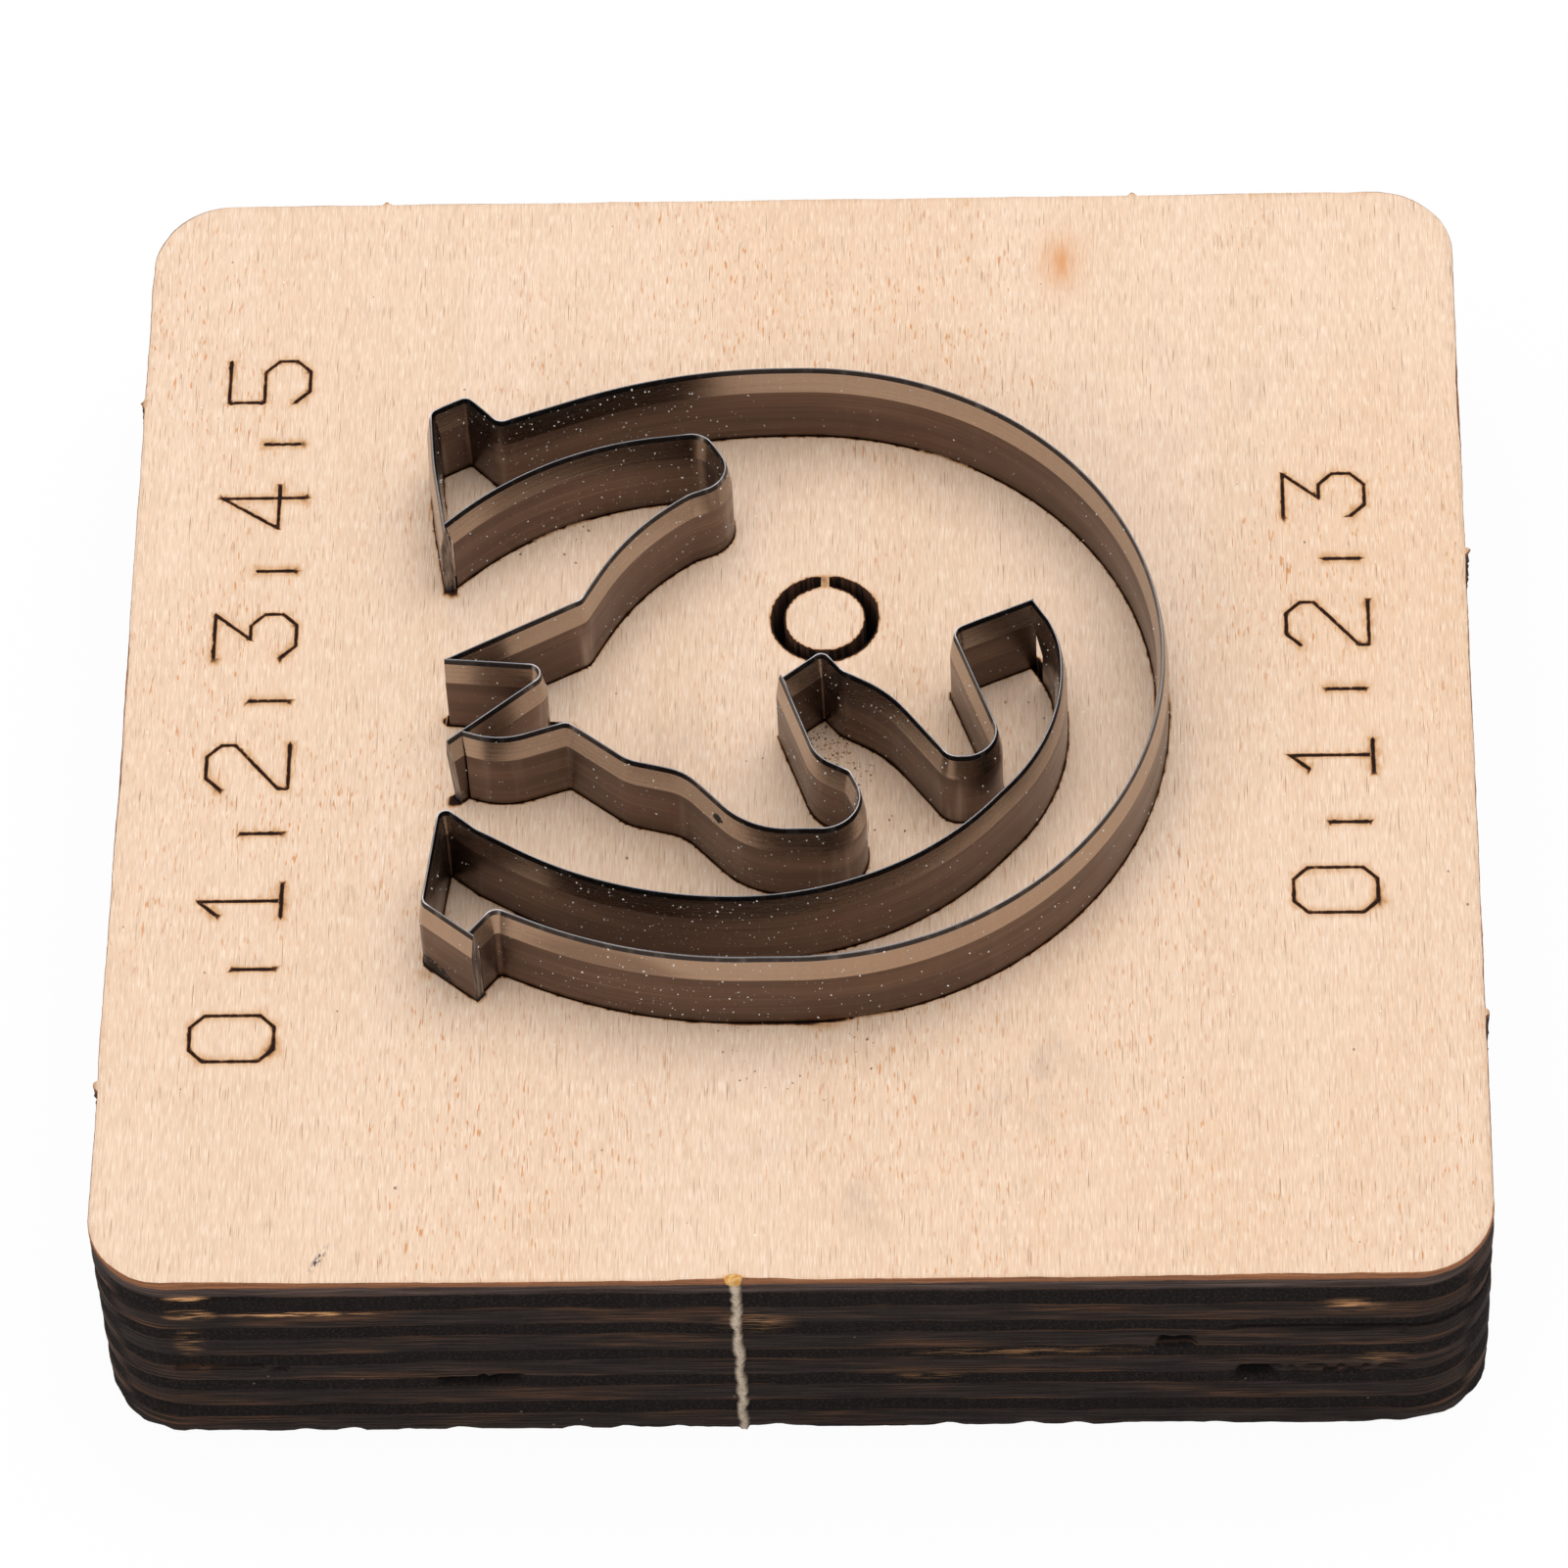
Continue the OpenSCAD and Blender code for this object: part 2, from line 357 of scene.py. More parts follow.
@dataclass(frozen=True)
class BirchFace(Recipe):
    """Sanded birch veneer with fibres along Y, scorched beside the cuts.

    A smudge is given by its place, its half sizes and its share.
    """

    name: str = "birch_face"
    pale: Colour = (0.83, 0.62, 0.465)
    warm: Colour = (0.77, 0.54, 0.37)
    blush: Colour = (0.77, 0.5, 0.31)
    dull: Colour = (0.62, 0.43, 0.305)
    light: Colour = (0.95, 0.8, 0.65)
    fleck: Colour = (0.62, 0.27, 0.1)
    pore: Colour = (0.36, 0.2, 0.11)
    dot: Colour = (0.11, 0.085, 0.075)
    mote: Colour = (0.97, 0.95, 0.92)
    red: Colour = (0.68, 0.32, 0.14)
    smudge: Colour = (0.4, 0.31, 0.26)
    grey: Colour = (0.1, 0.08, 0.08)
    toast: Colour = (0.55, 0.27, 0.09)
    brown: Colour = (0.1, 0.036, 0.015)
    black: Colour = (0.018, 0.0075, 0.005)
    knot: tuple[float, float] = (16.3, 35.4)
    scratch: tuple[float, float] = (-27.3, -39.2)
    scratch_lean: float = 0.5
    through: float = 30.0
    smudges: tuple[tuple[float, ...], ...] = (
        (13.9, -27.5, 6.0, 7.0, 0.5),
        (4.5, -36.2, 2.6, 3.2, 0.75),
        (-7.5, -2.2, 3.2, 4.5, 0.45),
        (-2.0, -30.0, 12.0, 6.0, 0.16),
        (25.0, 25.0, 14.0, 12.0, 0.14),
    )

    def paint(self, f: Finish, w: Wiring) -> None:
        """Wires the shader.

        Args:
            f: the material in the making.
            w: its wiring.
        """
        fine = f.streaks((9000.0, 800.0, 300.0), 3.0, 0.4, 0.7)
        patch = f.streaks((75.0, 48.0, 60.0), 2.0, 0.42, 0.64)
        hair = f.streaks((12500.0, 420.0, 500.0), 1.0, 0.66, 0.76)
        coats = (
            (f.streaks((330.0, 22.0, 40.0), 3.0, 0.3, 0.75), 0.5, self.warm),
            (f.streaks((55.0, 24.0, 40.0), 3.0, 0.45, 0.72), 0.4, self.blush),
            (fine, 0.4, self.dull),
            (f.streaks((9000.0, 90.0, 300.0), 2.0, 0.5, 0.72), 0.3, self.dull),
            (f.streaks((12000.0, 900.0, 500.0), 1.0, 0.5, 0.7), 0.5, self.light),
            (f.streaks((7000.0, 1000.0, 400.0), 1.0, 0.64, 0.73), w.linear(patch, 0.75, 0.1), self.fleck),
            (hair, 0.75, self.pore),
            (f.specks((1000.0, 760.0, 700.0), 0.085, 0.1), 0.7, self.dot),
            (f.specks((1500.0, 1300.0, 900.0), 0.09, 0.1), 0.6, self.mote),
        )
        colour = self._scorch(f, self._stains(f, w.coats(self.pale, coats)))
        f.set(Base_Color=colour, Roughness=w.between(fine, 0.58, 0.74), Specular_IOR_Level=0.08)
        f.bump(w.plus(w.times(fine, 0.6), w.times(hair, -0.6)), 0.03, 0.6)

    def _stains(self, f: Finish, colour: Socket) -> Socket:
        """Adds the knot, the grey smudges and the grey scratch.

        Args:
            f: the material in the making.
            colour: colour so far.

        Returns:
            The stained colour.
        """
        w = f.wiring
        grain = w.plus(f.streaks((1400.0, 160.0, 1.0), 2.0, 0.2, 0.8), 0.35)
        for wide, deep, share in ((2.6, 4.6, 0.5), (0.8, 2.2, 0.75)):
            mask = f.spot((*self.knot, BOARD_TOP), (wide, deep, self.through))
            colour = w.tint(colour, w.times(mask, grain), share, self.red)
        cloud = f.streaks((420.0, 260.0, 1.0), 5.0, 0.4, 0.75)
        for x, y, wide, deep, share in self.smudges:
            mask = f.spot((x, y, BOARD_TOP), (wide, deep, self.through))
            colour = w.tint(colour, w.times(mask, cloud), share, self.smudge)
        off = w.vector("SUBTRACT", f.place, tuple(v * MM for v in (*self.scratch, 0.0)))
        turn = {"Vector": off, "Angle": self.scratch_lean}
        lean = w.add("ShaderNodeVectorRotate", turn, rotation_type="Z_AXIS")
        line = f.spot((0.0, 0.0, BOARD_TOP), (0.32, 1.6, self.through), lean.outputs[0])
        broken = f.streaks((5000.0, 2500.0, 1.0), 2.0, 0.4, 0.6)
        return w.tint(colour, w.times(line, broken), 1.3, self.grey)

    def _scorch(self, f: Finish, colour: Socket) -> Socket:
        """Adds the scorch stored on the mesh as burn; its dark line beside the slots is partly a painted
        shadow at the rules' foot.

        Args:
            f: the material in the making.
            colour: colour so far.

        Returns:
            The scorched colour.
        """
        w = f.wiring
        uneven = f.streaks((2600.0, 1500.0, 2000.0), 3.0, 0.1, 0.9)
        burn = w.times(f.read("burn"), w.linear(uneven, 0.7, 0.65))
        coats = (
            (w.step(burn, 0.02, 0.4), 0.75, self.toast),
            (w.step(burn, 0.3, 0.62), 1.0, self.brown),
            (w.step(burn, 0.55, 0.85), 1.0, self.black),
        )
        return w.coats(colour, coats)


@dataclass(frozen=True)
class BurntEdge(Recipe):
    """Sawn edge of the plywood, charred by the laser, with paler fibres where the char is thin.

    A pale spot is given by its place, its half width and height, and its share.
    """

    name: str = "burnt_edge"
    char: Colour = (0.017, 0.0135, 0.0125)
    end_char: Colour = (0.01205, 0.010125, 0.009575)
    fibre: Colour = (0.041, 0.0285, 0.0245)
    brown: Colour = (0.17, 0.077, 0.038)
    tan: Colour = (0.72, 0.37, 0.17)
    mote: Colour = (0.4, 0.34, 0.3)
    face_ply: Colour = (0.14, 0.095, 0.082)
    rim: Colour = (0.4, 0.165, 0.075)
    torn: Colour = (0.66, 0.54, 0.42)
    torn_dark: Colour = (0.4, 0.27, 0.16)
    # Near-black painted shade inside the hollows of the edge.
    hollow: Colour = (0.004, 0.0035, 0.0035)
    pale_spots: tuple[tuple[float, ...], ...] = (
        (-35.0, -41.0, 12.6, 1.9, 0.75, 1.6),
        (-35.1, -41.0, 14.35, 1.7, 0.6, 1.5),
        (-28.5, -41.0, 12.6, 5.5, 0.3, 1.8),
        (-35.2, -41.0, 9.8, 1.2, 2.0, 0.45),
        (32.5, -41.0, 12.6, 2.6, 0.9, 0.75),
        (13.0, -41.0, 8.0, 9.0, 0.5, 0.45),
        (8.0, -41.0, 5.5, 2.5, 0.5, 0.5),
        (-2.0, -41.0, 11.5, 3.0, 1.6, 0.4),
        (34.5, -41.0, 7.0, 2.4, 0.9, 0.35),
        (41.0, 14.0, 12.4, 5.0, 0.6, 0.7),
        (41.0, -12.0, 8.4, 7.0, 0.5, 0.5),
        (-41.0, 8.0, 11.2, 6.0, 0.5, 0.6),
        (-41.0, -20.0, 5.5, 4.0, 0.6, 0.5),
        (12.0, 41.0, 9.8, 7.0, 0.6, 0.6),
        (-22.0, 41.0, 6.9, 5.0, 0.5, 0.5),
    )

    def paint(self, f: Finish, w: Wiring) -> None:
        """Wires the shader.

        Args:
            f: the material in the making.
            w: its wiring.
        """
        wave = w.math("SINE", w.times(f.read("ply"), math.pi))
        odd = w.step(wave, 0.12, -0.12)
        reach = w.minus(w.math("ABSOLUTE", f.x), w.math("ABSOLUTE", f.y))
        across = w.between(w.step(reach, -0.001, 0.001), odd, w.minus(1.0, odd))
        crest = w.step(w.math("ABSOLUTE", wave), 0.16, 0.02)
        lines = f.streaks((170.0, 170.0, 8000.0), 4.0, 0.38, 0.64)
        grit = f.streaks((4600.0, 4600.0, 4600.0), 2.0, 0.42, 0.7)
        beam = f.streaks((3000.0, 3000.0, 60.0), 3.0, 0.4, 0.75)
        patch = f.streaks((110.0, 110.0, 700.0), 4.0, 0.44, 0.68)
        thin = f.streaks((160.0, 160.0, 1500.0), 2.0, 0.5, 0.66)
        wear_and_highlight = f.streaks((420.0, 420.0, 7500.0), 3.0, 0.46, 0.6)
        long = w.tint(w.mix(lines, self.char, self.fibre), w.times(patch, lines), 0.65, self.brown)
        colour = w.mix(across, long, w.tint(self.end_char, grit, 0.7, self.fibre))
        coats = [(beam, 0.2, self.fibre), (w.times(crest, thin), 0.4, self.brown)]
        for x, y, z, wide, tall, share in self.pale_spots:
            mask = f.spot((x, y, z), (wide, wide, tall))
            coats.append((w.times(mask, wear_and_highlight), share, self.tan))
        coats += [
            (f.specks((1100.0, 1100.0, 1100.0), 0.09, 0.16), 0.3, self.mote),
            (f.rise(14.3, 14.8), w.linear(lines, 0.55, 0.25), self.face_ply),
            (f.rise(15.32, 15.48), w.linear(lines, 0.4, 0.55), self.rim),
            (f.read("torn"), 1.0, w.tint(self.torn, grit, 0.5, self.torn_dark)),
            # Hollows: painted shade, near black.
            (f.read("void"), 1.0, self.hollow),
        ]
        rough = w.between(across, w.between(lines, 0.72, 0.6), 0.88)
        f.set(Base_Color=w.coats(colour, coats), Roughness=rough, Specular_IOR_Level=0.04)
        height = w.plus(w.times(lines, 0.5), w.times(grit, w.between(across, 0.25, 1.0)))
        f.bump(w.plus(height, w.times(beam, 0.35)), 0.1, 0.9)


@dataclass(frozen=True)
class CharredCut(Recipe):
    """Walls of the slots, burnt through."""

    name: str = "charred_cut"
    char: Colour = (0.016, 0.01, 0.008)
    brown: Colour = (0.2, 0.085, 0.045)

    def paint(self, f: Finish, w: Wiring) -> None:
        """Wires the shader.

        Args:
            f: the material in the making.
            w: its wiring.
        """
        beam = f.streaks((3500.0, 3500.0, 60.0), 2.0, 0.35, 0.75)
        colour = w.tint(self.char, beam, w.linear(f.rise(12.5, BOARD_TOP), 0.7, 0.2), self.brown)
        f.set(Base_Color=colour, Roughness=w.between(beam, 0.7, 0.85), Specular_IOR_Level=0.25)
        f.bump(beam, 0.04, 0.7)


@dataclass(frozen=True)
class RuleSteel(Recipe):
    """Dark rolled strip with ground bevels and a honed edge; the steep edge is painted near black as a
    painted dark reflection, and the warm tones are partly painted reflection of the wood.
    """

    name: str = "rule_steel"
    # Steel's dark tone, its warm brown partly a painted reflection of the wood.
    body: Colour = (0.15, 0.1, 0.08)
    body_light: Colour = (0.24, 0.18, 0.15)
    body_dark: Colour = (0.085, 0.062, 0.052)
    body_score: Colour = (0.4, 0.31, 0.25)
    # Painted glint on the body at the bends.
    body_glint: Colour = (0.4, 0.35, 0.32)
    # Painted shade on the strip just above the board, and a painted shadow line where it meets the board.
    foot: Colour = (0.03, 0.02, 0.016)
    foot_shadow_line: Colour = (0.012, 0.01, 0.009)
    # Ground bevel's tone, its tan partly a painted reflection of the surroundings.
    bevel: Colour = (0.42, 0.345, 0.29)
    bevel_light: Colour = (0.52, 0.45, 0.39)
    bevel_mill: Colour = (0.3, 0.235, 0.19)
    bevel_score: Colour = (0.66, 0.58, 0.52)
    # Bevel colour for the painted dark reflection.
    bevel_dark_reflection: Colour = (0.23, 0.18, 0.15)
    # Painted dark reflection: the steep edge drawn near black.
    tip: Colour = (0.045, 0.043, 0.046)
    # Painted glint on the steep edge.
    tip_glint: Colour = (0.5, 0.5, 0.52)
    # Painted highlight along the edge's land.
    land: Colour = (0.36, 0.36, 0.38)
    torn: Colour = (0.1, 0.085, 0.078)
    torn_light: Colour = (0.32, 0.27, 0.24)
    black: Colour = (0.015, 0.013, 0.012)
    mote: Colour = (0.66, 0.62, 0.58)
    dust: Colour = (0.62, 0.58, 0.54)
    bevel_from: float = 20.1
    tip_from: float = 21.65
    land_from: float = 21.93
    nick: Triple = (-4.35, -11.35, 20.7)
    nick_size: Triple = (0.6, 0.6, 0.45)
    soot: Triple = (-21.4, -18.75, 15.95)
    soot_size: Triple = (2.2, 2.2, 1.6)
    dusty: Triple = (-8.0, -17.3, 20.9)
    dusty_size: Triple = (14.0, 3.2, 2.4)

    def paint(self, f: Finish, w: Wiring) -> None:
        """Wires the shader.

        Args:
            f: the material in the making.
            w: its wiring.
        """
        strip = w.xyz(f.read("along"), w.times(f.read("side"), 0.01), f.z)
        bend, sheared = f.read("bend"), f.read("sheared")
        mill = f.streaks((70.0, 900.0, 5200.0), 4.0, 0.36, 0.72, strip)
        cloud = f.streaks((60.0, 700.0, 520.0), 4.0, 0.34, 0.7, strip)
        grind = f.streaks((2600.0, 900.0, 160.0), 2.0, 0.4, 0.75, strip)
        # Streaks that place the painted glints at the bends.
        glint_streaks = f.streaks((900.0, 700.0, 90.0), 2.0, 0.5, 0.7, strip)
        score = f.streaks((45.0, 700.0, 8000.0), 1.0, 0.68, 0.76, strip)
        # Streaks that vary the painted highlight along the land.
        wear_and_highlight = f.streaks((260.0, 900.0, 300.0), 3.0, 0.36, 0.6, strip)
        torn = f.streaks((5200.0, 5200.0, 420.0), 3.0, 0.3, 0.66)
        coats = (
            (mill, 0.45, self.body_light),
            (cloud, 0.5, self.body_dark),
            (score, 0.4, self.body_score),
            # Painted glints on the body, only at the bends.
            (w.times(glint_streaks, bend), 0.7, self.body_glint),
            # Painted shade and a painted shadow line where the strip meets the board.
            (f.rise(BOARD_TOP + 0.4, BOARD_TOP + 0.02), 0.4, self.foot),
            (f.rise(BOARD_TOP + 0.16, BOARD_TOP + 0.06), 0.85, self.foot_shadow_line),
        )
        body = w.coats(self.body, coats)
        # Painted dark reflection on the bevel, where the stored dark value is high.
        dark_reflection = w.step(w.plus(f.read("dark"), w.times(cloud, 0.16)), 0.26, 0.46)
        coats = (
            (grind, 0.14, self.bevel_light),
            (mill, 0.2, self.bevel_mill),
            (score, 0.3, self.bevel_score),
            (dark_reflection, 0.85, self.bevel_dark_reflection),
        )
        bevel = w.coats(self.bevel, coats)
        # Painted glints on the near-black edge, strongest at the bends.
        tip = w.tint(self.tip, w.linear(bend, 0.9, 0.12), glint_streaks, self.tip_glint)
        # Painted highlight on the land, strongest at the bends.
        land_highlight_share = w.plus(w.times(wear_and_highlight, 0.5), w.times(bend, 0.6))
        tip = w.tint(tip, f.rise(self.land_from, self.land_from + 0.03), land_highlight_share, self.land)
        on_bevel = f.rise(self.bevel_from - 0.03, self.bevel_from + 0.03)
        # Mask of the steep edge, which carries the painted dark reflection.
        on_tip = f.rise(self.tip_from - 0.02, self.tip_from + 0.02)
        colour = w.mix(on_tip, w.mix(on_bevel, body, bevel), tip)
        colour = w.mix(sheared, colour, w.mix(torn, self.torn, self.torn_light))
        colour, metal = self._dirt(f, colour, strip)
        rough = w.between(on_bevel, w.between(cloud, 0.28, 0.42), w.between(mill, 0.26, 0.32))
        rough = w.between(sheared, rough, 0.58)
        f.set(Base_Color=colour, Metallic=metal, Roughness=rough, Specular_IOR_Level=0.1)
        f.bump(w.plus(w.times(mill, 0.5), w.times(torn, sheared)), 0.01, 0.5)

    def _dirt(self, f: Finish, colour: Socket, strip: Socket) -> tuple[Socket, Socket]:
        """Adds the nick, the soot and the dust, which are matt.

        Args:
            f: the material in the making.
            colour: colour so far.
            strip: coordinates along the strip.

        Returns:
            The dirty colour, and the share of bare metal.
        """
        w = f.wiring
        metal: object = 1.0
        bite = w.plus(f.streaks((4000.0, 4000.0, 4000.0), 1.0, 0.4, 0.55), 0.45)
        for centre, size in ((self.nick, self.nick_size), (self.soot, self.soot_size)):
            chip = w.step(w.times(f.spot(centre, size), bite), 0.16, 0.3)
            colour = w.mix(chip, colour, self.black)
            metal = w.minus(metal, chip, clamp=True)
        colour = w.tint(colour, f.specks((1900.0, 900.0, 1900.0), 0.1, 0.16, strip), 0.5, self.mote)
        drift = w.times(w.step(f.spot(self.dusty, self.dusty_size), 0.05, 0.4), 0.75)
        dense = w.times(f.specks((2800.0, 900.0, 2800.0), 0.12, 0.3, strip), drift)
        return w.mix(dense, colour, self.dust), w.minus(metal, dense, clamp=True)


@dataclass(frozen=True)
class Grains(Recipe):
    """Fine loose grains, each speck a little different in tone."""

    name: str
    light: Colour
    dark: Colour

    def paint(self, f: Finish, w: Wiring) -> None:
        """Wires the shader.

        Args:
            f: the material in the making.
            w: its wiring.
        """
        tone = f.streaks((3000.0, 3000.0, 3000.0), 1.0, 0.35, 0.65)
        f.set(Base_Color=w.mix(tone, self.dark, self.light), Roughness=w.between(tone, 0.7, 0.9))


@dataclass(frozen=True)
class Resin(Recipe):
    """Amber bead of glue squeezed out at a torn tab."""

    name: str = "resin_bead"
    amber: Colour = (0.6, 0.27, 0.04)
    clouded: Colour = (0.74, 0.5, 0.2)

    def paint(self, f: Finish, w: Wiring) -> None:
        """Wires the shader.

        Args:
            f: the material in the making.
            w: its wiring.
        """
        cloud = f.streaks((2500.0, 2500.0, 2500.0), 2.0, 0.4, 0.7)
        f.set(Base_Color=w.mix(cloud, self.amber, self.clouded), Roughness=w.between(cloud, 0.22, 0.5))
        f.bump(cloud, 0.04, 0.6)


@dataclass
class Trace:
    """A rule's path as a chain of points, in millimetres."""

    xy: np.ndarray
    along: np.ndarray
    bend: np.ndarray
    lift: np.ndarray

    def dense(self, step: float) -> np.ndarray:
        """Returns points on the path at even steps."""
        spots = np.arange(self.along[0], self.along[-1], step)
        return np.c_[[np.interp(spots, self.along, self.xy[:, k]) for k in (0, 1)]].T

    def spot(self, s: float, off: float) -> np.ndarray:
        """Returns the point at s along the path and off to its left."""
        i = int(np.clip(np.searchsorted(self.along, s), 1, len(self.along) - 1))
        way = self.xy[i] - self.xy[i - 1]
        way = way / np.linalg.norm(way)
        return self.xy[i - 1] + way * (s - self.along[i - 1]) + off * left_of(way)

    def between(self, low: float, high: float) -> "Trace":
        """Returns the stretch from low to high along the path."""
        s = np.r_[low, self.along[(self.along > low + 0.04) & (self.along < high - 0.04)], high]
        xy = np.array([self.spot(v, 0.0) for v in s])
        return Trace(xy, s, np.interp(s, self.along, self.bend), np.interp(s, self.along, self.lift))


@dataclass(frozen=True)
class Section:
    """Upright section of the rule steel and its fit at joints and bridges."""

    thick: float = 0.71
    height: float = 22.0
    bevel_h: float = 1.9
    edge_t: float = 0.26
    edge_h: float = 0.35
    edge_land: float = 0.06
    joint_gap: float = 0.12
    edge_gap: float = 0.03
    bridge: float = 4.3
    bridge_top: float = 15.95

    def room(self, z: float) -> float:
        """Returns the half width that a butted rule leaves free for its neighbour at a height."""
        heights = (self.height - self.bevel_h, self.height - self.edge_h, self.height)
        edge, land = self.edge_t / 2 + self.edge_gap, self.edge_land / 2 + self.edge_gap
        return float(np.interp(z, heights, (self.thick / 2 + self.joint_gap, edge, land)))


@dataclass
class Rule:
    """One bent rule: its corners with bend radii, its two ends and its notches.

    lead and past are its run-ons at the first and last joint, 0 where it butts on its neighbour. hang is
    how far its end leans out over its foot, nose how far its start lies back below the waist. A painted dark
    reflection on the bevel is given by its place, its reach and its share.
    """

    node: str
    corners: Sequence[tuple[float, ...]]
    past: float = 0.0
    bridges: Sequence[tuple[int, float]] = ()
    lead: float = 0.0
    hang: float = 0.0
    nose: float = 0.0
    waist: float = 16.2
    section: Section = field(default_factory=Section)
    run_step: float = 0.8
    arc_step: float = 0.5
    turn_step: float = 0.075
    # Spots where the bevel gets a painted dark reflection.
    dark_reflection_spots: Sequence[tuple[float, ...]] = (
        (-14.0, 20.0, 9.0, 0.7),
        (-4.5, 15.5, 4.0, 0.7),
        (-10.0, -18.0, 6.0, 0.5),
        (-20.0, 19.0, 3.0, 0.6),
    )

    def heading(self, i: int) -> float:
        """Returns the direction of the run after corner i, in radians."""
        a, b = self.corners[i], self.corners[i + 1]
        return math.atan2(b[1] - a[1], b[0] - a[0])

    def trace(self) -> Trace:
        """Follows the path through its runs and bends.

        Returns:
            The chain of points with their place along, tightness of bend and lift of the foot.
        """
        last = len(self.corners) - 1
        points = [np.array(self.corners[0][:2], float) - self.lead * unit(self.heading(0))]
        bends: dict[int, Triple] = {}
        reach = -self.lead
        for i in range(1, last + 1):
            here, h = np.array(self.corners[i][:2], float), self.heading(i - 1)
            way = unit(h)
            if i == last:
                stop, turn, radius = here + self.past * way, 0.0, 0.0
            else:
                radius = self.corners[i][2]
                turn = (self.heading(i) - h + math.pi) % (2 * math.pi) - math.pi
                stop = here - radius * math.tan(abs(turn) / 2) * way
            start = points[-1]
            run = float(np.linalg.norm(stop - start))
            steps = max(1, math.ceil(run / self.run_step))
            points += [start + (stop - start) * t for t in np.linspace(0, 1, steps + 1)[1:]]
            reach += run
            if turn:
                centre = stop + radius * left_of(way) * math.copysign(1.0, turn)
                arc = radius * abs(turn)
                steps = max(2, math.ceil(abs(turn) / self.turn_step), math.ceil(arc / self.arc_step))
                for t in np.linspace(0, turn, steps + 1)[1:]:
                    c, s = math.cos(t), math.sin(t)
                    points.append(centre + np.array([[c, -s], [s, c]]) @ (stop - centre))
                bends[i] = (reach, reach + arc, radius)
                reach += arc
        xy = np.array(points)
        along = np.r_[0.0, np.cumsum(np.linalg.norm(np.diff(xy, axis=0), axis=1))] - self.lead
        return self._with_marks(xy, along, bends)

    def _with_marks(self, xy: np.ndarray, along: np.ndarray, bends: dict[int, Triple]) -> Trace:
        """Adds points beside bends and notches.

        Args:
            xy: points of the path.
            along: their places along it.
            bends: start, end and radius of each bend by corner.

        Returns:
            The finished trace.
        """
        spots, cuts = [along], []
        for start, end, _ in bends.values():
            spots.append(np.array([start - 0.35, start - 0.15, end + 0.15, end + 0.35]))
        for i, share in self.bridges:
            start, end, _ = bends[i]
            middle = start + share * (end - start)
            low, high = middle - self.section.bridge / 2, middle + self.section.bridge / 2
            cuts.append((low, high))
            spots.append(np.array([low - 0.002, low, high, high + 0.002]))
        s = np.unique(np.clip(np.concatenate(spots), along[0], along[-1]).round(4))
        bend, lift = np.zeros_like(s), np.zeros_like(s)
        for start, end, radius in bends.values():
            gap = np.maximum(0.0, np.maximum(start - s, s - end))
            bend = np.maximum(bend, min(1.0, 0.9 / radius) * np.exp(-gap / 0.22))
        for low, high in cuts:
            lift[(s > low - 0.0005) & (s < high + 0.0005)] = self.section.bridge_top
        return Trace(np.c_[[np.interp(s, along, xy[:, k]) for k in (0, 1)]].T, s, bend, lift)

    def _butt(self, other: "Rule", at_start: bool, off: float, z: float) -> float:
        """Works out where this rule meets the side of the rule that runs through a joint.

        Args:
            other: the rule that runs through.
            at_start: whether the joint is at this rule's start.
            off: place across this rule, to its left.
            z: height.

        Returns:
            Distance from the joint along this rule, less than 0 before it.
        """
        way = unit(self.heading(0 if at_start else len(self.corners) - 2))
        across = left_of(unit(other.heading(len(other.corners) - 2 if at_start else 0)))
        across *= math.copysign(1.0, across @ way) * (1.0 if at_start else -1.0)
        return float((self.section.room(z) - off * (across @ left_of(way))) / (across @ way))

    def _start_at(self, before: "Rule", off: float, z: float) -> float:
        """Returns where the rule starts at a place in its section, measured from its first joint."""
        if self.lead:
            return -self.lead
        start = self._butt(before, True, off, z)
        if self.nose:
            lean = (self.nose, -self.section.thick / 2)
            start = max(start, float(np.interp(z, (self.waist, self.section.height), lean)))
        return start

    def _end_at(self, after: "Rule", off: float, z: float) -> float:
        """Returns where the rule ends at a place in its section, measured from its last joint."""
        if self.past:
            return self.past - float(np.interp(z, (self.waist, self.section.height), (self.hang, 0.0)))
        return self._butt(after, False, off, z)

    def _flank(self) -> list[tuple[float, float]]:
        """Returns half width and height of the section's corners, from the foot to the edge."""
        s, half = self.section, self.section.thick / 2
        edge = [(s.edge_t / 2, s.height - s.edge_h), (s.edge_land / 2, s.height)]
        return [(half, 0.0), (half, self.waist), (half, s.height - s.bevel_h), *edge]

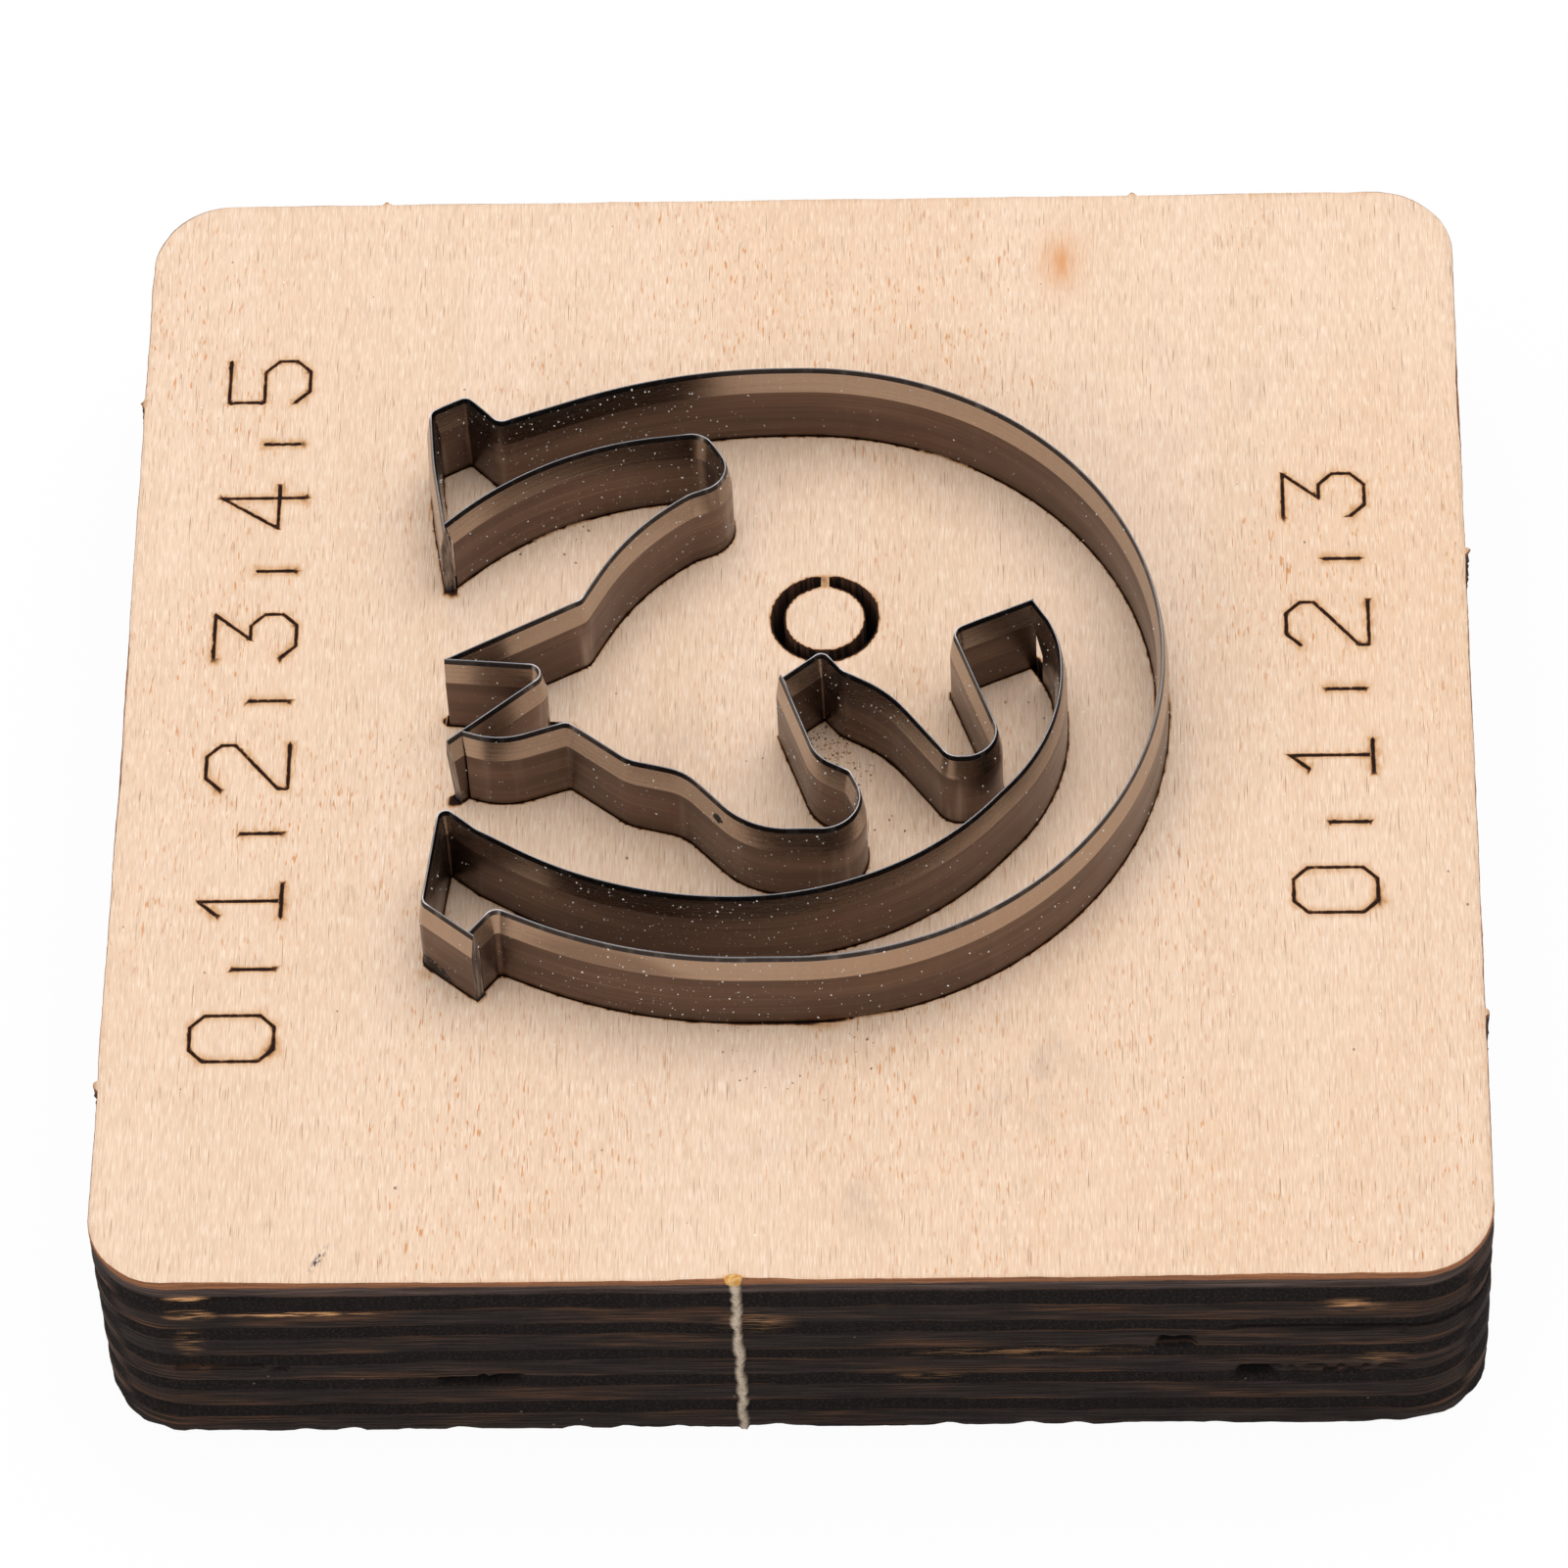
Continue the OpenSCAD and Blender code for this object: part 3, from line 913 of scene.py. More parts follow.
    def build(
        self, before: "Rule", after: "Rule", tree: bpy.types.NodeTree, steel: bpy.types.Material
    ) -> bpy.types.Object:
        """Bends the strip, shapes its ends and gives it its finish.

        Args:
            before: the rule at its first joint.
            after: the rule at its last joint.
            tree: the sweep.
            steel: finish of the strip.

        Returns:
            The finished piece.
        """
        whole = self.trace()
        joint = whole.along[-1] - self.past
        corners = [(side * x, z) for x, z in self._flank() for side in (-1.0, 1.0)]
        low = max(self._start_at(before, off, z) for off, z in corners)
        high = joint + min(self._end_at(after, off, z) for off, z in corners)
        path = whole.between(low, high)
        mesh = bpy.data.meshes.new(self.node)
        links = [(i, i + 1) for i in range(len(path.xy) - 1)]
        mesh.from_pydata([(x * MM, y * MM, 0.0) for x, y in path.xy], links, [])
        for name, values in (("along", path.along * MM), ("bend", path.bend), ("lift", path.lift * MM)):
            store(mesh, name, values)
        host = link_new(self.node + "_path", mesh)
        s = self.section
        sizes = {"Thickness": s.thick, "Waist": self.waist, "Height": s.height, "Bevel Height": s.bevel_h}
        sizes |= {"Edge Thickness": s.edge_t, "Edge Height": s.edge_h, "Edge Land": s.edge_land}
        inputs: dict[str, object] = {name: value * MM for name, value in sizes.items()}
        swept = grow(host, tree, inputs | {"Finish": steel}, self.node.replace("_rule", "_strip"))
        ring = 2 * len(self._flank())
        ends = [(0, low, lambda off, z: self._start_at(before, off, z))]
        ends += [(len(swept.data.vertices) - ring, high, lambda off, z: joint + self._end_at(after, off, z))]
        for first, at, place in ends:
            self._shape_end(swept.data, whole, range(first, first + ring), at, place)
        self._close_ends(swept.data, [first for first, _, _ in ends], ring)
        # Painted dark reflections on the bevel.
        self._paint_dark_reflections(swept.data)
        swept.data.set_sharp_from_angle(angle=math.radians(6.5))
        return swept

    def _shape_end(
        self,
        mesh: bpy.types.Mesh,
        whole: Trace,
        ring: range,
        at: float,
        place: Callable[[float, float], float],
    ) -> None:
        """Slides the last ring of the strip along the path to the form of its end.

        Args:
            mesh: the swept strip.
            whole: the rule's whole path.
            ring: vertices of the ring.
            at: where the ring lies along the path.
            place: where the end lies for a place across and a height.
        """
        base = whole.spot(at, 0.0)
        left = whole.spot(at, 1.0) - base
        along = mesh.attributes["along"].data
        for k in ring:
            x, y, z = mesh.vertices[k].co / MM
            off = float((np.array([x, y]) - base) @ left)
            s = place(off, z)
            mesh.vertices[k].co = (*(whole.spot(s, off) * MM), z * MM)
            along[k].value = s * MM

    def _close_ends(self, mesh: bpy.types.Mesh, firsts: list[int], ring: int) -> None:
        """Closes the strip's ends with flat faces, marked as sheared.

        Args:
            mesh: the swept strip.
            firsts: first vertex of each end ring.
            ring: number of vertices in a ring.
        """
        work = bmesh.new()
        work.from_mesh(mesh)
        sheared = work.faces.layers.float.new("sheared")
        bmesh.ops.delete(work, geom=[f for f in work.faces if len(f.verts) > 4], context="FACES_ONLY")
        work.verts.ensure_lookup_table()
        for first in firsts:
            for i in range(ring // 2 - 1):
                corners = (i, i + 1, ring - 2 - i, ring - 1 - i)
                work.faces.new([work.verts[first + k] for k in corners])[sheared] = 1.0
        bmesh.ops.recalc_face_normals(work, faces=work.faces)
        work.to_mesh(mesh)
        work.free()

    def _paint_dark_reflections(self, mesh: bpy.types.Mesh) -> None:
        """Stores where the bevel gets a painted dark reflection: near the back left and on the neck's bend.
        """
        xy = mesh_points(mesh)[:, :2] / MM
        dark = np.zeros(len(xy))
        for x, y, reach, share in self.dark_reflection_spots:
            dark = np.maximum(dark, bell(np.linalg.norm(xy - (x, y), axis=1), share, reach))
        store(mesh, "dark", dark)


def unit(angle: float) -> np.ndarray:
    """Returns the direction at an angle, in radians."""
    return np.array([math.cos(angle), math.sin(angle)])


def left_of(way: np.ndarray) -> np.ndarray:
    """Returns a direction turned left by a right angle."""
    return np.array([-way[1], way[0]])


def clipped(value: float) -> float:
    """Limits a number to the span from 0 to 1."""
    return min(1.0, max(0.0, value))


def bell(gap: np.ndarray, share: float, reach: float) -> np.ndarray:
    """Returns share where the gap is 0, falling off like a bell."""
    return share * np.exp(-((gap / reach) ** 2))


def haze(gap: np.ndarray, share: float, reach: float) -> np.ndarray:
    """Returns share where the gap is 0, fading slowly."""
    return share * np.exp(-gap / reach)


def ripple(x: float, y: float, z: float) -> float:
    """Returns smooth noise between about -1 and 1."""
    return noise.noise((x, y, z))


def as_mesh(work: bmesh.types.BMesh, name: str) -> bpy.types.Mesh:
    """Turns a mesh in the making into a plain one."""
    mesh = bpy.data.meshes.new(name)
    work.to_mesh(mesh)
    work.free()
    return mesh


def mesh_points(mesh: bpy.types.Mesh) -> np.ndarray:
    """Returns a mesh's vertices as rows, in metres."""
    flat = np.zeros(len(mesh.vertices) * 3, np.float32)
    mesh.vertices.foreach_get("co", flat)
    return flat.reshape(-1, 3).astype(float)


def store(mesh: bpy.types.Mesh, name: str, values: np.ndarray) -> None:
    """Stores one number for each vertex under name."""
    mesh.attributes.new(name, "FLOAT", "POINT").data.foreach_set("value", values.astype(np.float32))


def link_new(name: str, data: bpy.types.ID | None) -> bpy.types.Object:
    """Makes an object and puts it into the scene."""
    made = bpy.data.objects.new(name, data)
    bpy.context.scene.collection.objects.link(made)
    return made


def grow(
    host: bpy.types.Object, tree: bpy.types.NodeTree, inputs: dict[str, object], name: str
) -> bpy.types.Object:
    """Runs a geometry node tree on a host and keeps the result as a plain mesh.

    Args:
        host: object that carries what the tree starts from; it is removed.
        tree: the geometry node tree.
        inputs: values by input name.
        name: name of the new piece.

    Returns:
        The new piece, at the origin.
    """
    modifier = host.modifiers.new("grow", "NODES")
    modifier.node_group = tree
    for item in tree.interface.items_tree:
        if item.item_type == "SOCKET" and item.in_out == "INPUT" and item.name in inputs:
            modifier[item.identifier] = inputs[item.name]
    graph = bpy.context.evaluated_depsgraph_get()
    mesh = bpy.data.meshes.new_from_object(host.evaluated_get(graph), depsgraph=graph)
    mesh.name = name
    host.modifiers.remove(modifier)
    bpy.data.objects.remove(host)
    return link_new(name, mesh)


def new_geometry_tree(name: str, inputs: dict[str, str]) -> tuple[Wiring, bpy.types.Node, Socket]:
    """Starts a geometry node tree.

    Args:
        name: name of the tree.
        inputs: socket type by input name, after the geometry.

    Returns:
        The wiring, the input node, and the output node's geometry socket.
    """
    tree = bpy.data.node_groups.new(name, "GeometryNodeTree")
    tree.interface.new_socket("Geometry", in_out="INPUT", socket_type="NodeSocketGeometry")
    for label, kind in inputs.items():
        tree.interface.new_socket(label, in_out="INPUT", socket_type=kind)
    tree.interface.new_socket("Geometry", in_out="OUTPUT", socket_type="NodeSocketGeometry")
    wiring = Wiring(tree)
    return wiring, wiring.add("NodeGroupInput"), wiring.add("NodeGroupOutput").inputs[0]


def rule_sweep() -> bpy.types.NodeTree:
    """Builds the tree that carries the rule's section along a path.

    Returns:
        The tree, with the section's sizes as inputs.
    """
    sizes = ("Thickness", "Waist", "Height", "Bevel Height", "Edge Thickness", "Edge Height", "Edge Land")
    kinds = {name: "NodeSocketFloat" for name in sizes} | {"Finish": "NodeSocketMaterial"}
    w, given, end = new_geometry_tree("Rule Sweep", kinds)
    size = {name: given.outputs[name] for name in sizes}
    curve = w.add("GeometryNodeMeshToCurve", {0: given.outputs[0]})
    upright = w.add("GeometryNodeSetCurveNormal", {0: curve.outputs[0]}, mode="Z_UP")
    half = {name: w.times(size[name], 0.5) for name in ("Thickness", "Edge Thickness", "Edge Land")}
    bevel_z = w.minus(size["Height"], size["Bevel Height"])
    edge_z = w.minus(size["Height"], size["Edge Height"])
    flank = [(half["Thickness"], 0.0), (half["Thickness"], size["Waist"]), (half["Thickness"], bevel_z)]
    flank += [(half["Edge Thickness"], edge_z), (half["Edge Land"], size["Height"])]
    flank += [(w.times(x, -1.0), z) for x, z in reversed(flank)]
    index = w.add("GeometryNodeInputIndex").outputs[0]
    corner = w.add("GeometryNodeIndexSwitch", None, data_type="VECTOR")
    while len(corner.index_switch_items) < len(flank):
        corner.index_switch_items.new()
    w.feed(corner.inputs[0], index)
    for i, (x, z) in enumerate(flank):
        w.feed(corner.inputs[i + 1], w.xyz(x, w.times(z, -1.0), 0.0))
    ring = w.add("GeometryNodeCurvePrimitiveCircle", {"Resolution": len(flank)})
    shaped = w.add("GeometryNodeSetPosition", {0: ring.outputs[0], "Position": corner.outputs[0]})
    middle = (len(flank) - 1) / 2
    left = w.math("GREATER_THAN", index, middle)
    side = w.minus(1.0, w.times(left, 2.0))
    sided = w.add("GeometryNodeStoreNamedAttribute", {0: shaped.outputs[0], "Name": "side", "Value": side})
    foot = w.math("GREATER_THAN", w.math("ABSOLUTE", w.minus(index, middle)), middle - 0.5)
    footed = w.add("GeometryNodeStoreNamedAttribute", {0: sided.outputs[0], "Name": "foot", "Value": foot})
    inputs = {"Curve": upright.outputs[0], "Profile Curve": footed.outputs[0], "Fill Caps": True}
    strip = w.add("GeometryNodeCurveToMesh", inputs)
    lift = w.add("GeometryNodeInputNamedAttribute", {0: "lift"}).outputs[0]
    on_foot = w.add("GeometryNodeInputNamedAttribute", {0: "foot"}).outputs[0]
    rise = w.xyz(0.0, 0.0, w.times(lift, on_foot))
    notched = w.add("GeometryNodeSetPosition", {0: strip.outputs[0], "Offset": rise})
    real = w.add("GeometryNodeRealizeInstances", {0: notched.outputs[0]})
    dressed = w.add("GeometryNodeSetMaterial", {0: real.outputs[0], "Material": given.outputs["Finish"]})
    w.feed(end, dressed.outputs[0])
    return w.tree


def grain_scatter() -> bpy.types.NodeTree:
    """Builds the tree that scatters small grains on a surface.

    Returns:
        The tree: Density is grains per square metre, scaled by the surface's own dusty value.
    """
    kinds = {"Density": "NodeSocketFloat", "Smallest": "NodeSocketFloat", "Largest": "NodeSocketFloat"}
    kinds |= {"Seed": "NodeSocketInt", "Finish": "NodeSocketMaterial"}
    w, given, end = new_geometry_tree("Grain Scatter", kinds)
    dusty = w.add("GeometryNodeInputNamedAttribute", {0: "dusty"}).outputs[0]
    density = w.times(given.outputs["Density"], dusty)
    inputs = {"Mesh": given.outputs[0], "Density": density, "Seed": given.outputs["Seed"]}
    spread = w.add("GeometryNodeDistributePointsOnFaces", inputs)
    grain = w.add("GeometryNodeMeshIcoSphere", {"Radius": 1.0, "Subdivisions": 1})
    pick = "FunctionNodeRandomValue"
    turn = w.add(pick, {0: ORIGIN, 1: (6.3, 6.3, 6.3)}, data_type="FLOAT_VECTOR")
    even = w.add(pick, {2: 0.0, 3: 1.0, "Seed": given.outputs["Seed"]}, data_type="FLOAT")
    few_large = w.math("POWER", even.outputs[1], 3.0)
    size = w.between(few_large, given.outputs["Smallest"], given.outputs["Largest"])
    flat = w.add(pick, {0: (0.7, 0.5, 0.5), 1: (1.3, 1.0, 0.8)}, data_type="FLOAT_VECTOR")
    scale = w.add("ShaderNodeVectorMath", {0: flat.outputs[0], 3: size}, operation="SCALE")
    inputs = {"Points": spread.outputs[0], "Instance": grain.outputs[0]}
    inputs |= {"Rotation": turn.outputs[0], "Scale": scale.outputs[0]}
    placed = w.add("GeometryNodeInstanceOnPoints", inputs)
    real = w.add("GeometryNodeRealizeInstances", {0: placed.outputs[0]})
    dressed = w.add("GeometryNodeSetMaterial", {0: real.outputs[0], "Material": given.outputs["Finish"]})
    w.feed(end, dressed.outputs[0])
    return w.tree


@dataclass
class RuleSet:
    """The six bent rules that close the cutting outline, in order round it.

    A drift of dust is given by its place, its reach and how much it adds.
    """

    heel: tuple[float, float] = (-21.3, 10.1)
    tip: tuple[float, float] = (-20.8, -0.2)
    nape: tuple[float, float] = (-19.7, -5.6)
    chin: tuple[float, float] = (-0.6, -1.9)
    peak: tuple[float, float] = (14.4, 3.8)
    toe: tuple[float, float] = (-18.8, -20.4)
    end_hang: float = 0.4
    dust_from: float = 16.0
    dust_to: float = 21.7
    drifts: tuple[tuple[float, ...], ...] = (
        (-14, 20, 7, 1.5),
        (-6, -17, 8, 1.3),
        (5, -4, 5, 0.8),
        (-2, -21, 9, 0.35),
        (-8, 14, 5, 0.6),
    )
    rules: list[Rule] = field(default_factory=list)

    def __post_init__(self) -> None:
        """Lays out the rules' corners."""
        outer = [self.toe, (-17.4, -18.6, 0.7), (-9.2, -22.4, 30), (22.2, -22.4, 22), (22.2, 22, 22)]
        outer += [(-7.5, 22, 36), (-18.2, 18, 0.7), (-20.2, 20.1, 0.6), (-22.4, 18.9, 0.6)]
        outer += [(-22.1, 15, 30), self.heel]
        neck = [self.heel, (-15.3, 15.9, 21), (-5.6, 17, 1.5), (-3.4, 13.4, 1.8), (-6.4, 12.2, 2)]
        neck += [(-10, 9.6, 16), (-12.8, 4.2, 0.7), self.tip]
        face = [self.nape, (-17.4, -6.4, 4.5), (-13.4, -5, 0.7), (-9.7, -7.9, 3), (-6.3, -8.8, 3.5)]
        face += [(-2.4, -13.1, 5.2), (5.3, -13.1, 2.3), (3.5, -8.9, 0.7), (1.5, -7.8, 2.5), self.chin]
        throat = [self.chin, (1.8, 0.1, 0.5), (3, -1.4, 1.2), (5.8, -3, 8), (9.4, -7.9, 1.1)]
        throat += [(13, -7.9, 1.9), (9.6, 1.6, 0.7), self.peak]
        inner = [self.peak, (16.1, 1.2, 7.5), (16.1, -6.3, 13), (8.8, -14.9, 19), (0.6, -18, 20)]
        inner += [(-10.2, -18, 25), (-18.6, -12.9, 3), (-20.8, -11, 0.5), (-21.6, -18.1, 0.6), self.toe]
        ear = [self.tip, (-14.1, -0.8, 0.7), self.nape]
        t = Section().thick
        self.rules = [
            Rule("outer_shoe_rule", outer, 0.85 * t, ((3, 0.12), (4, 0.73)), hang=self.end_hang),
            Rule("neck_rule", neck, 0.0, ((1, 0.5),)),
            Rule("ear_rule", ear, 1.55 * t, lead=0.15 * t, hang=self.end_hang),
            Rule("face_rule", face, 0.35 * t),
            Rule("throat_rule", throat, 0.1 * t),
            Rule("inner_shoe_rule", inner, 0.6 * t, ((4, 0.5),), nose=1.7, waist=18.5),
        ]

    def build(self, steel: bpy.types.Material) -> list[bpy.types.Object]:
        """Builds all the rules.

        Args:
            steel: finish of the strips.

        Returns:
            The pieces, each standing for its node.
        """
        tree = rule_sweep()
        made = []
        for i, rule in enumerate(self.rules):
            strip = rule.build(self.rules[i - 1], self.rules[(i + 1) % len(self.rules)], tree, steel)
            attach(strip, "root")
            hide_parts(rule.node)
            made.append(strip)
        return made

    def dust(
        self, strips: list[bpy.types.Object], tree: bpy.types.NodeTree, finish: bpy.types.Material
    ) -> bpy.types.Object:
        """Scatters pale dust on the part of the strips that stands out of the board.

        Args:
            strips: the rules.
            tree: the scatter.
            finish: finish of the grains.

        Returns:
            The dust as one piece.
        """
        work = bmesh.new()
        for strip in strips:
            work.from_mesh(strip.data)
        bmesh.ops.triangulate(work, faces=work.faces[:])
        for z, up in ((self.dust_from, -1), (self.dust_to, 1)):
            geom = work.verts[:] + work.edges[:] + work.faces[:]
            plane = {"plane_co": (0, 0, z * MM), "plane_no": (0, 0, up)}
            bmesh.ops.bisect_plane(work, geom=geom, clear_outer=True, **plane)
        host = as_mesh(work, "dusty_strips")
        co = mesh_points(host) / MM
        dusty = np.where(co[:, 2] > 20.0, 0.4, 0.22)
        for x, y, reach, more in self.drifts:
            dusty += bell(np.linalg.norm(co[:, :2] - (x, y), axis=1), more, reach)
        store(host, "dusty", dusty)
        inputs = {"Density": 1.7e6, "Smallest": 0.022 * MM, "Largest": 0.09 * MM, "Seed": 7, "Finish": finish}
        grains = grow(link_new("dusty_strips", host), tree, inputs, "steel_dust")
        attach(grains, "root")
        return grains


@dataclass
class Scale:
    """A plain burnt scale: numerals at each centimetre, a tick half way between two."""

    baseline: float
    start: float
    count: int
    high: float = 5.0
    wide: float = 3.3
    cut: float = 0.85

    def strokes(self) -> list[list[tuple[float, float]]]:
        """Returns the scale's strokes on the board, read from front to back."""
        found = []
        for n in range(self.count):
            left = self.start + 10.0 * n - self.wide / 2
            found += [[(self.baseline - v, left + u) for u, v in line] for line in self._numeral(n)]
            if n:
                y = self.start + 10.0 * n - 5.0
                found.append([(self.baseline - 0.4, y), (self.baseline - 2.6, y)])
        return found

    def _numeral(self, n: int) -> list[list[tuple[float, float]]]:
        """Returns the strokes of one numeral, from 0 to 5, with cut corners."""
        w, h, c = self.wide, self.high, self.cut
        waist = 0.56 * h
        bowl = [(w - c, waist), (w, waist - c), (w, c), (w - c, 0.0), (c, 0.0), (0.0, c)]
        return [
            [[(c, 0), (w - c, 0), (w, c), (w, h - c), (w - c, h), (c, h), (0, h - c), (0, c), (c, 0)]],
            [[(0.2 * w, h - 1.1), (0.5 * w, h), (0.5 * w, 0)], [(0.15 * w, 0), (0.85 * w, 0)]],
            [[(0, h - c), (c, h), (w - c, h), (w, h - c), (w, 0.66 * h), (0, 0.12 * h), (0, 0), (w, 0)]],
            [[(0, h), (w, h), (0.42 * w, waist), *bowl]],
            [[(0.72 * w, 0), (0.72 * w, h), (0, 0.3 * h), (w, 0.3 * h)]],
            [[(w, h), (0, h), (0, waist), *bowl]],
        ][n]


@dataclass
class DieBoard:
    """The plywood board: face and underside cut by the slots, burnt edge all round.

    A hollow is given by its side, place along it, height, half width and half height, a scorch by its
    place, half sizes and share, a heap of sawdust by its place, reach and share. A burn or haze is given
    by its share and its reach.
    """

    side: float = 82.0
    thick: float = BOARD_TOP
    corner: float = 5.0
    ply_tops: tuple[float, ...] = (0.0, 1.7, 2.9, 4.6, 5.7, 7.4, 8.5, 10.2, 11.3, 12.9, 14.6, 15.8)
    tab_wide: float = 0.62
    tab_out: float = 0.24
    mark_half: float = 0.068
    mark_deep: float = 0.14
    ring: Triple = (1.7, 7.3, 2.875)
    slot_wide: float = 0.75
    tabs: tuple[tuple[float, ...], ...] = ((-3.1,), (-22.5, 12.0), (-20.8, 26.4), (-25.0, 26.7))
    scales: tuple[Scale, ...] = (Scale(-30.6, -23.5, 6), Scale(34.8, -13.5, 4))
    hollows: tuple[tuple[float, ...], ...] = (
        (0, -18.5, 5.4, 2.3, 0.34),
        (0, 22.4, 8.9, 1.0, 0.42),
        (0, 27.0, 5.7, 1.0, 0.5),
        (0, 32.0, 10.3, 6.0, 0.16),
        (0, 31.5, 6.1, 4.6, 0.14),
        (0, -33.5, 7.2, 4.0, 0.13),
        (1, 9.0, 9.6, 1.8, 0.35),
        (1, -24.0, 5.6, 3.0, 0.2),
        (2, 14.0, 7.4, 2.2, 0.35),
        (2, -26.0, 10.9, 1.4, 0.3),
        (3, 2.0, 6.6, 1.6, 0.35),
        (3, 21.0, 11.3, 3.5, 0.18),
    )
    scorches: tuple[tuple[float, ...], ...] = (
        (1.6, -22.9, 1.5, 0.35, 0.3),
        (-21.2, -0.2, 0.4, 0.35, 0.4),
        (-13.6, -0.8, 0.45, 0.35, 0.5),
        (4.7, 8.7, 0.3, 0.6, 0.3),
        (2.6, -3.2, 1.6, 1.6, 0.13),
        (-3.2, -41.0, 0.9, 0.5, 0.5),
        (-22.0, -19.0, 0.5, 0.4, 0.3),
    )
    heaps: tuple[tuple[float, ...], ...] = (
        (2.0, -2.2, 1.5, 1.0),
        (3.2, -4.4, 1.6, 0.5),
        (5.4, -10.5, 3.0, 0.05),
        (0.5, -23.6, 5.0, 0.04),
        (-15.0, 14.0, 3.0, 0.05),
        (12.0, 2.0, 2.0, 0.06),
        (-19.8, -16.5, 1.6, 0.12),
    )
    bead: Triple = (-3.15, -40.83, 15.72)
    bead_size: Triple = (0.55, 0.36, 0.3)
    # Laser scorch beside each slot, partly a painted shadow line at the rules' foot.
    slot_burn_and_shadow: tuple[float, float] = (0.8, 0.055)
    slot_haze: tuple[float, float] = (0.07, 0.35)
    rim_haze: tuple[float, float] = (0.4, 0.13)
    ring_burn: tuple[float, float] = (0.34, 0.16)
    mark_haze: tuple[float, float] = (0.13, 0.4)
    stop_burn: tuple[float, float] = (0.15, 0.7)
    side_columns: int = 200
    tab_columns: int = 21
    corner_columns: int = 24
    edge_rows: int = 50
    fine_pitch: float = 0.2
    fine_reach: float = 23.6
    face_pitch: float = 0.62
    under_pitch: float = 2.4
    edge_depth: float = 0.09
    end_grain_depth: float = 0.045
    seam_depth: float = 0.28
    hollow_depth: float = 0.55
    chip_depth: float = 0.5
    rim_depth: float = 0.05

    def build(
        self, node: bpy.types.Object, paths: list[Trace], finishes: Sequence[bpy.types.Material]
    ) -> bpy.types.Object:
        """Builds the board round the slots of its node.

        Args:
            node: the board as packed.
            paths: the rules' paths.
            finishes: face, burnt edge and slot walls.

        Returns:
            The piece that stands for the node.
        """
        work = bmesh.new()
        work.from_mesh(node.data)
        bmesh.ops.remove_doubles(work, verts=work.verts[:], dist=1e-6)
        solid = BVHTree.FromBMesh(work)
        middle = [f for f in work.faces if not self._slot_wall(f)]
        bmesh.ops.delete(work, geom=middle, context="FACES")
        for f in work.faces:
            f.material_index = 2
        kerf = self._kerf(paths)
        rims = self._edge(work, self._columns(), self._rows())
        top = self._lid(work, solid, rims[-1], kerf, self.thick, self.face_pitch)
        under = self._lid(work, solid, rims[0], kerf, 0.0, self.under_pitch)
        bmesh.ops.remove_doubles(work, verts=work.verts[:], dist=1e-7)
        mesh = as_mesh(work, "board")
        for finish in finishes:
            mesh.materials.append(finish)
        mesh.set_sharp_from_angle(angle=math.radians(38))
        LOG.info("board: %d face triangles, %d underside triangles", top, under)
        board = link_new("board", mesh)
        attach(board, "root")
        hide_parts("die_board")
        return board

    def _inset(self, x: float, y: float) -> float:
        """Returns how far a point lies inside the board's outline."""
        half = self.side / 2
        u, v = abs(x) - half + self.corner, abs(y) - half + self.corner
        if u > 0 and v > 0:
            return self.corner - math.hypot(u, v)
        return self.corner - max(u, v)

    def _slot_wall(self, f: bmesh.types.BMFace) -> bool:
        """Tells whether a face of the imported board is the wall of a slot."""
        if abs(f.normal.z) > 0.5:
            return False
        spot = f.calc_center_median() / MM
        return self._inset(spot.x, spot.y) > 1.0

    def _columns(self) -> list[Column]:
        """Lays columns round the edge, closer together at the torn tabs.

        Returns:
            Place, outward direction, side number and place along that side of each column.
        """
        half, straight = self.side / 2, self.side / 2 - self.corner
        found = []
        for e in range(4):
            c, s = [(1, 0), (0, 1), (-1, 0), (0, -1)][e]
            turn = np.array([[c, -s], [s, c]], float)
            spots = list(np.linspace(-straight, straight, self.side_columns)[:-1])
            for tab in self.tabs[e]:
                spots = [u for u in spots if abs(u - tab) > 1.0]
                spots += list(np.linspace(tab - 1.0, tab + 1.0, self.tab_columns))
            for u in sorted(spots):
                found.append((turn @ (u, -half), turn @ (0.0, -1.0), e, u))
            for a in np.linspace(-math.pi / 2, 0.0, self.corner_columns)[:-1]:
                spot = np.array([straight, -straight]) + self.corner * unit(a)
                found.append((turn @ spot, turn @ unit(a), e, straight + 2.0))
        return found

    def _rows(self) -> np.ndarray:
        """Returns the heights of the rows of the edge, from the underside to the face."""
        inner = np.linspace(0.12, self.thick - 0.12, self.edge_rows)
        return np.r_[0.0, 0.05, inner, self.thick - 0.05, self.thick]

    def _edge(
        self, work: bmesh.types.BMesh, columns: list[Column], rows: np.ndarray
    ) -> list[list[bmesh.types.BMVert]]:
        """Builds the burnt edge with its plies, hollows and torn tabs.

        Args:
            work: mesh to add to.
            columns: columns round the edge.
            rows: heights of the rows.

        Returns:
            The vertices row by row.
        """
        ply_of = work.verts.layers.float.new("ply")
        torn_of = work.verts.layers.float.new("torn")
        void_of = work.verts.layers.float.new("void")
        work.verts.layers.float.new("burn")
        grid = []
        for z in rows:
            row = []
            for place, way, e, u in columns:
                depth, ply, torn, void = self._relief(place, e, u, float(z))
                spot = place - way * depth
                v = work.verts.new((spot[0] * MM, spot[1] * MM, z * MM))
                v[ply_of], v[torn_of], v[void_of] = ply, torn, void
                row.append(v)
            grid.append(row)
        count = len(columns)
        for low, high in zip(grid, grid[1:]):
            for i in range(count):
                j = (i + 1) % count
                face = work.faces.new((low[i], low[j], high[j], high[i]))
                face.material_index, face.smooth = 1, True
        return grid

